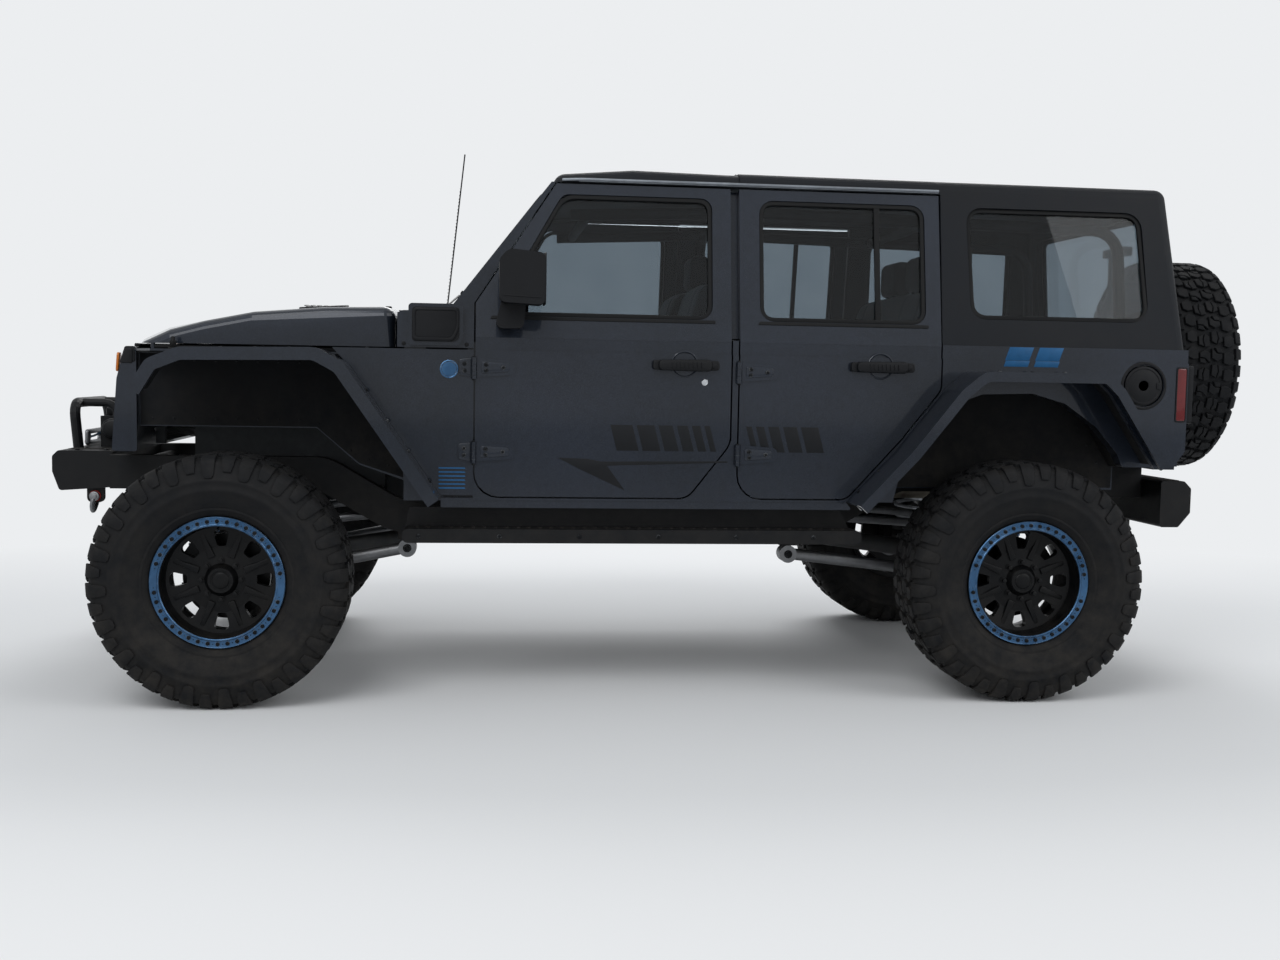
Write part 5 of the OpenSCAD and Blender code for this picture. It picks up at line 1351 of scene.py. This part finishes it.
# Rear bumper: tread pads, bolts, lamps, hitch pin, and the exhaust's tip beside it
pads = [block("pad", (-3792, side * 420 - 190, 829.5), (-3712, side * 420 + 190, 832), edge=1)
    for side in SIDES]
dressed(joined("rear_bumper_pads", *pads), LINER, "chassis")
bolts = [hex_bolt("bolt", (x, side * y, 830), (0, 0, 1), 8, 5) for side in SIDES for x in (-3722, -3782)
    for y in (120, 170)]
dressed(joined("rear_bumper_bolts", *bolts), BOLT_BLACK, "chassis")
cubes = [plate("lamp", rounded([(side * 500 - 44, 705), (side * 500 + 44, 705), (side * 500 + 44, 775),
            (side * 500 - 44, 775)], 8), -3836, -3828, lie=END_ON, edge=3) for side in SIDES]
dressed(joined("rear_bumper_lamps", *cubes), lamp_red, "chassis")
PIN_X, PIN_Z, PIN_R = -3815, 592, 7
pin = joined("pin", drum("pin", (PIN_X, 0, PIN_Z), (0, 1, 0), PIN_R, 112, edge=1.5),
    tube("bend", [(PIN_X, 54, PIN_Z), (PIN_X, 66, PIN_Z), (PIN_X, 66, PIN_Z - 36)], PIN_R, bend=14),
    hoop("clip", (PIN_X, -60, PIN_Z), (1, 0, 0), 14, 2, sides=24, round_sides=6))
dressed(pin, LINKS, "chassis").name = "hitch_pin"
tip = lathe("exhaust_tip", [(24.3, 0), (27, 1), (29, 60), (31, 62), (33, 60), (33, 4), (30, -4),
        (26, -30), (24.3, -30)], (-3560, -150, 668), (-0.98, 0, -0.2), 40)
dressed(tip, EXHAUST, "chassis")

# Hardtop and front roof panels: raised ribs along them
ribs = [tube("rib", [(-1990, y, 2013), (-3560, y, 2007)], 9, bend=0) for y in (-300, 0, 300)]
dressed(joined("roof_ribs", *ribs), SHELL, "chassis")
panel_ribs = [tube("rib", [(-1330, y, 2011), (-1860, y, 2013)], 7) for y in (-330, 330)]
dressed(joined("panel_ribs", *panel_ribs), SHELL, "chassis")


# ---- Under the body ----

for end, x, way, y in (("front", 0, 1, 230), ("rear", REAR_X, -1, 0)):
    cover = lathe("cover", [(0, 30), (50, 29), (88, 18), (104, 4), (122, 0), (124, -8), (0, -8)],
        (x + way * 97, y, AXLE_Z), (way, 0, 0), 48, False)
    bolts = ring_of("bolts", hex_bolt("bolt", (x + way * 97, y, AXLE_Z + 112), (way, 0, 0), 7, 6),
        at(x, y, AXLE_Z), "X", 12)
    plug = drum("plug", (x + way * 124, y + 40, AXLE_Z + 10), (way, 0, 0), 13, 10, edge=2, sides=8)
    cover_paint = finish(end + "_cover_paint", "17191c", "232629", 0.35, 0.5, grain=(700.0, 0.3),
        wear=(0.4, "7c7f82"), dust=(0.8, 0.35))
    dressed(joined(end + "_diff_cover", cover, plug), cover_paint, "chassis")
    dressed(bolts, BOLT_BLACK, "chassis").name = end + "_diff_bolts"
    line = tube("line", [(x - way * 40, -560, AXLE_Z + 46), (x - way * 40, y - 60, AXLE_Z + 46),
            (x - way * 20, y, AXLE_Z + 132), (x - way * 40, y + 90, AXLE_Z + 60),
            (x - way * 40, 560, AXLE_Z + 46)], 3, bend=30)
    dressed(line, LINKS, "chassis").name = end + "_brake_line"

# Bolt heads at the links' eyes and at the shocks' ends
heads = []
for x, y, z in ((-130, 425, 420), (-640, 425, 520), (REAR_X + 130, 425, 420), (-2190, 425, 500)):
    for side in SIDES:
        heads.append(hex_bolt("bolt", (x, side * (y + 34), z), (0, side, 0), 13, 10))
        heads.append(hex_bolt("bolt", (x, side * (y - 34), z), (0, -side, 0), 13, 10))
for x, y, z in ((100, 556, 430), (REAR_X - 100, 556, 430), (100, 556, 850), (REAR_X - 100, 556, 850)):
    for side in SIDES:
        heads.append(hex_bolt("bolt", (x, side * (y + 22), z), (0, side, 0), 11, 9))
dressed(joined("link_bolts", *heads), BOLT_BLACK, "chassis")

# Shocks: dust sleeve, collar and rubber boot
for end, x, top in (("front", 100, 850), ("rear", REAR_X - 100, 850)):
    low = AXLE_Z - 30
    mid = low + (top - low) * 0.45
    sleeve = lathe("sleeve", [(27, 0), (30, 2), (30, 14), (27, 16)], (x, 556, mid - 26), (0, 0, 1), 32)
    collar = lathe("collar", [(26.3, 0), (28.5, 2), (28.5, 26), (26.3, 28)], (x, 556, low + 30),
        (0, 0, 1), 32)
    boot = lathe("boot", [(r, z) for k in range(9) for r, z in ((19, k * 12), (24, k * 12 + 6))]
        + [(10, 108), (9.2, 0)], (x, 556, top - 140), (0, 0, 1), 32)
    pair(joined("sleeve", sleeve, collar), end + "_shock_rings", RING_BLUE)
    pair(boot, end + "_shock_boot", BLACK_RUBBER)

# Bump stops
for end, x in (("front", 0), ("rear", REAR_X)):
    stop = lathe("stop", [(0, 0), (16, 0), (18, -24), (26, -30), (24, -44), (14, -66), (0, -70)],
        (x, 540, 769), (0, 0, 1), 28, False)
    pair(stop, end + "_bump_stop", finish(end + "_stop_rubber", "6a4a12", "8a641c", 0.5, 0.6,
            grain=(500.0, 0.2), dust=(0.9, 0.3)))

# Joints on the prop shafts, bolts along the gearbox, and clamps on the exhaust
yokes = []
for x, y, z, radius in ((-1425, 0, 660, 47), (REAR_X + 200, 0, AXLE_Z + 22, 47), (-1262, 230, 640, 38),
        (-196, 230, AXLE_Z + 16, 38)):
    yokes.append(drum("yoke", (x, y, z), (1, 0, 0.06), radius, 26, edge=5))
    yokes.append(drum("cross", (x, y, z), (0, 1, 0), 15, radius * 2.2, edge=2))
    yokes.append(drum("cross", (x, y, z), (0, 0, 1), 15, radius * 2.2, edge=2))
dressed(joined("shaft_joints", *yokes), CAST, "chassis")
pan = [hex_bolt("bolt", (x, side * 152, 690), (0, side, 0), 7, 5) for side in SIDES
    for x in range(-1340, -760, 90)]
dressed(joined("gearbox_bolts", *pan), BOLT_BLACK, "chassis")
clamps = [lathe("clamp", [(28.4, 0), (31.5, 2), (31.5, 18), (28.4, 20)], (x, -260, 616), (1, 0, 0), 32)
    for x in (-820, -1400, -2000)]
dressed(joined("exhaust_clamps", *clamps), LINKS, "chassis")

# Sliders: step grip and bolt heads along the side
for side, word in HANDS:
    grips = [drum("grip", (x, side * 778, 640.4), (0, 0, 1), 9, 3, edge=0.8, sides=16)
        for x in range(-2330, -690, 42)]
    dressed(joined("grips", *grips), LINER, "chassis").name = word + "_slider_grips"
    plugs = [hex_bolt("bolt", (x, side * 838, 614), (0, side, 0), 7, 3)
        for x in (-700, -1000, -1300, -1600, -1900, -2200)]
    dressed(joined("plugs", *plugs), BOLT_BLACK, "chassis").name = word + "_slider_bolts"


# ---- Inside ----

SEAT_OUTLINE = [(-1180, 960), (-1180, 1090), (-1700, 1060), (-1740, 960)]
BACK_OUTLINE = [(-1640, 1050), (-1740, 1000), (-1900, 1560), (-1860, 1600), (-1780, 1580)]


def cushion(name, outline, y0, y1, plump=14, seams=()):
    """A padded piece: a subdivided slab whose faces swell between their seams."""
    points = rounded(outline, 40, 3)
    piece = plate(name, points, y0, y1, edge=18)
    piece = modified(piece, "REMESH", mode="VOXEL", voxel_size=0.013)
    piece = modified(piece, "SMOOTH", factor=0.6, iterations=8)
    middle, half = (y0 + y1) / 2 * MM, (y1 - y0) / 2 * MM
    for spot in piece.data.vertices:
        t = (spot.co.y - middle) / half
        push = (1 - t * t) * 0.5
        for seam in seams:
            push -= 0.55 * math.exp(-((abs(t) - seam) * half / 0.006) ** 2)
        spot.co += spot.normal * push * plump * MM
    return piece


def stitched(name, outline, y, radius=1.4):
    """Piping along a cushion's side."""
    return tube(name, [(x, y, z) for x, z in rounded(outline, 40, 3)], radius + 2, sides=2, closed=True)


def whole_seat(name, x, y0, y1, base_z, count):
    """Seat with its padded cushion, back, head rests and plinth."""
    shift = Matrix.Translation((x * MM, 0, 0))
    wide = y1 - y0
    seams = (0.62,) if count == 1 else (0.34, 0.72)
    base = cushion("base", SEAT_OUTLINE, y0 + 10, y1 - 10, 16, seams)
    back = cushion("back", BACK_OUTLINE, y0 + 16, y1 - 16, 14, seams)
    rests = []
    for k in range(count):
        y = y0 + wide * (k + 0.5) / count
        rest = block("rest", (-1955, y - 130, 1610), (-1865, y + 130, 1770), edge=34, steps=4)
        posts = [drum("post", (-1888, y + d, 1596), (0.12, 0, 1), 7, 90, edge=0) for d in (-50, 50)]
        rests.append(rest)
        rests.append(joined("posts", *posts))
    piping = [stitched("piping", SEAT_OUTLINE, y) for y in (y0 + 26, y1 - 26)]
    piece = moved(joined(name, base, back, *rests), shift)
    trim = moved(joined(name + "_piping", *piping, block("plinth", (-1680, y0 + 60, base_z + 0.3),
                (-1310, y1 - 60, 980), edge=6), block("shield", (-1720, y0 + 2, 990),
                (-1260, y0 + 16, 1040), edge=6), block("shield", (-1720, y1 - 16, 990),
                (-1260, y1 - 2, 1040), edge=6)), shift)
    return piece, trim


made = [whole_seat(word + "_seat", 0, *sorted((side * 110, side * 610)), 758, 1)
    for side, word in HANDS]
made.append(whole_seat("rear_bench", -960, -590, 590, 926, 3))
for padded_seat, trim in made:
    dressed(padded_seat, CLOTH, "chassis", 60)
    dressed(trim, CABIN, "chassis")
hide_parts("seats")

# Safety belts down from the posts, with buckles by the cushions
belt_webbing = finish("belt_webbing", "17181a", "202124", 0.7, 0.85, scale=30.0, grain=(1600.0, 0.6))
for side, word in HANDS:
    strap = tube("strap", [(-1930, side * 612, 1560), (-1912, side * 628, 1300),
            (-1850, side * 640, 960)], 3, bend=40)
    guide = block("guide", (-1950, side * 612 - 14, 1550), (-1916, side * 612 + 14, 1590), edge=5)
    buckle = block("buckle", (-1640, side * 98 - 10, 1040), (-1606, side * 98 + 8, 1120), edge=4)
    dressed(joined("belt", strap, guide, buckle), belt_webbing, "chassis").name = word + "_belt"

# Dashboard: brow over the dials, screen, knobs, vents, glove box lid, grab bar
brow = plate("brow", rounded([(-930, 1372), (-990, 1392), (-900, 1446), (-760, 1440), (-740, 1410)],
        16), 215, 525, edge=6)
dials = [lathe("dial", [(0, 0), (54, 0), (58, 5), (62, 6), (64, 0)], (-964, y, 1362), (-0.94, 0, 0.35),
        40, False) for y in (300, 440)]
screen = block("screen", (-985, -112, 1292), (-962, 112, 1420), edge=5)
knobs = [drum("knob", (-968, y, 1222), (1, 0, 0), 19, 24, edge=3) for y in (-84, 0, 84)]
vents = [lathe("vent", [(0, 3), (28, 3), (30, 8), (38, 9), (41, 0)], (-962, y, 1330), (-1, 0, 0), 32,
        False) for y in (-600, -170, 170, 600)]
lid = plate("lid", rounded([(-560, 1170), (-250, 1170), (-250, 1290), (-560, 1290)], 16), -968, -958,
    lie=END_ON, edge=4)
bar = tube("bar", [(-962, -250, 1318), (-996, -262, 1318), (-996, -548, 1318), (-962, -560, 1318)], 11,
    bend=18)
dressed(joined("dash_trim", brow, *dials, *knobs, *vents, lid, bar), TRIM, "chassis")
dressed(screen, finish("screen_glass", "07080a", "0a0b0d", 0.1, 0.16, grain=(400.0, 0.02),
        Coat_Weight=0.5), "chassis").name = "dash_screen"
console = plate("console", rounded([(-965, 1140), (-1210, 930), (-1700, 900), (-1720, 1050),
            (-1580, 1080), (-1230, 1040), (-1010, 1150)], 24), -84, 84, edge=10)
levers = [tube("lever", [(-1150, y, 1040), (-1180, y, 1190)], 8) for y in (-20, 40)]
grips = [ball("grip", (-1181, y, 1200), (22, 22, 28)) for y in (-20, 40)]
dressed(joined("console", console, *levers, *grips), CABIN, "chassis")
mats = [plate("mat", rounded([(-1650, side * 330 - 210), (-760, side * 330 - 210),
            (-760, side * 330 + 210), (-1650, side * 330 + 210)], 60), 758.4, 764, lie=FLAT, edge=2)
    for side in SIDES]
dressed(joined("floor_mats", *mats), LINER, "chassis")
hub_pad = drum("hub_pad", (-1085 - 30 * 0.883, 370, 1300 + 30 * 0.469), (-0.883, 0, 0.469), 62, 22, edge=9)
dressed(hub_pad, CABIN, "hand_wheel").name = "wheel_pad"

# Seals in the gaps between the screen posts and the front doors
for side, word in HANDS:
    corners = ((-904, 30), (-904, up_lean(1486)), (-1213, up_lean(1949)), (-1870, up_lean(1953)))
    path = [LEANING @ Vector((x * MM, up * MM, -26 * MM)) for x, up in corners]
    line = drawn("seal", [[(p.x, side * p.y, p.z) for p in path]], False, dimensions="3D",
        bevel_depth=5.5 * MM, bevel_resolution=2, use_fill_caps=True)
    dressed(tidied(line), BLACK_RUBBER, "chassis").name = word + "_post_seal"
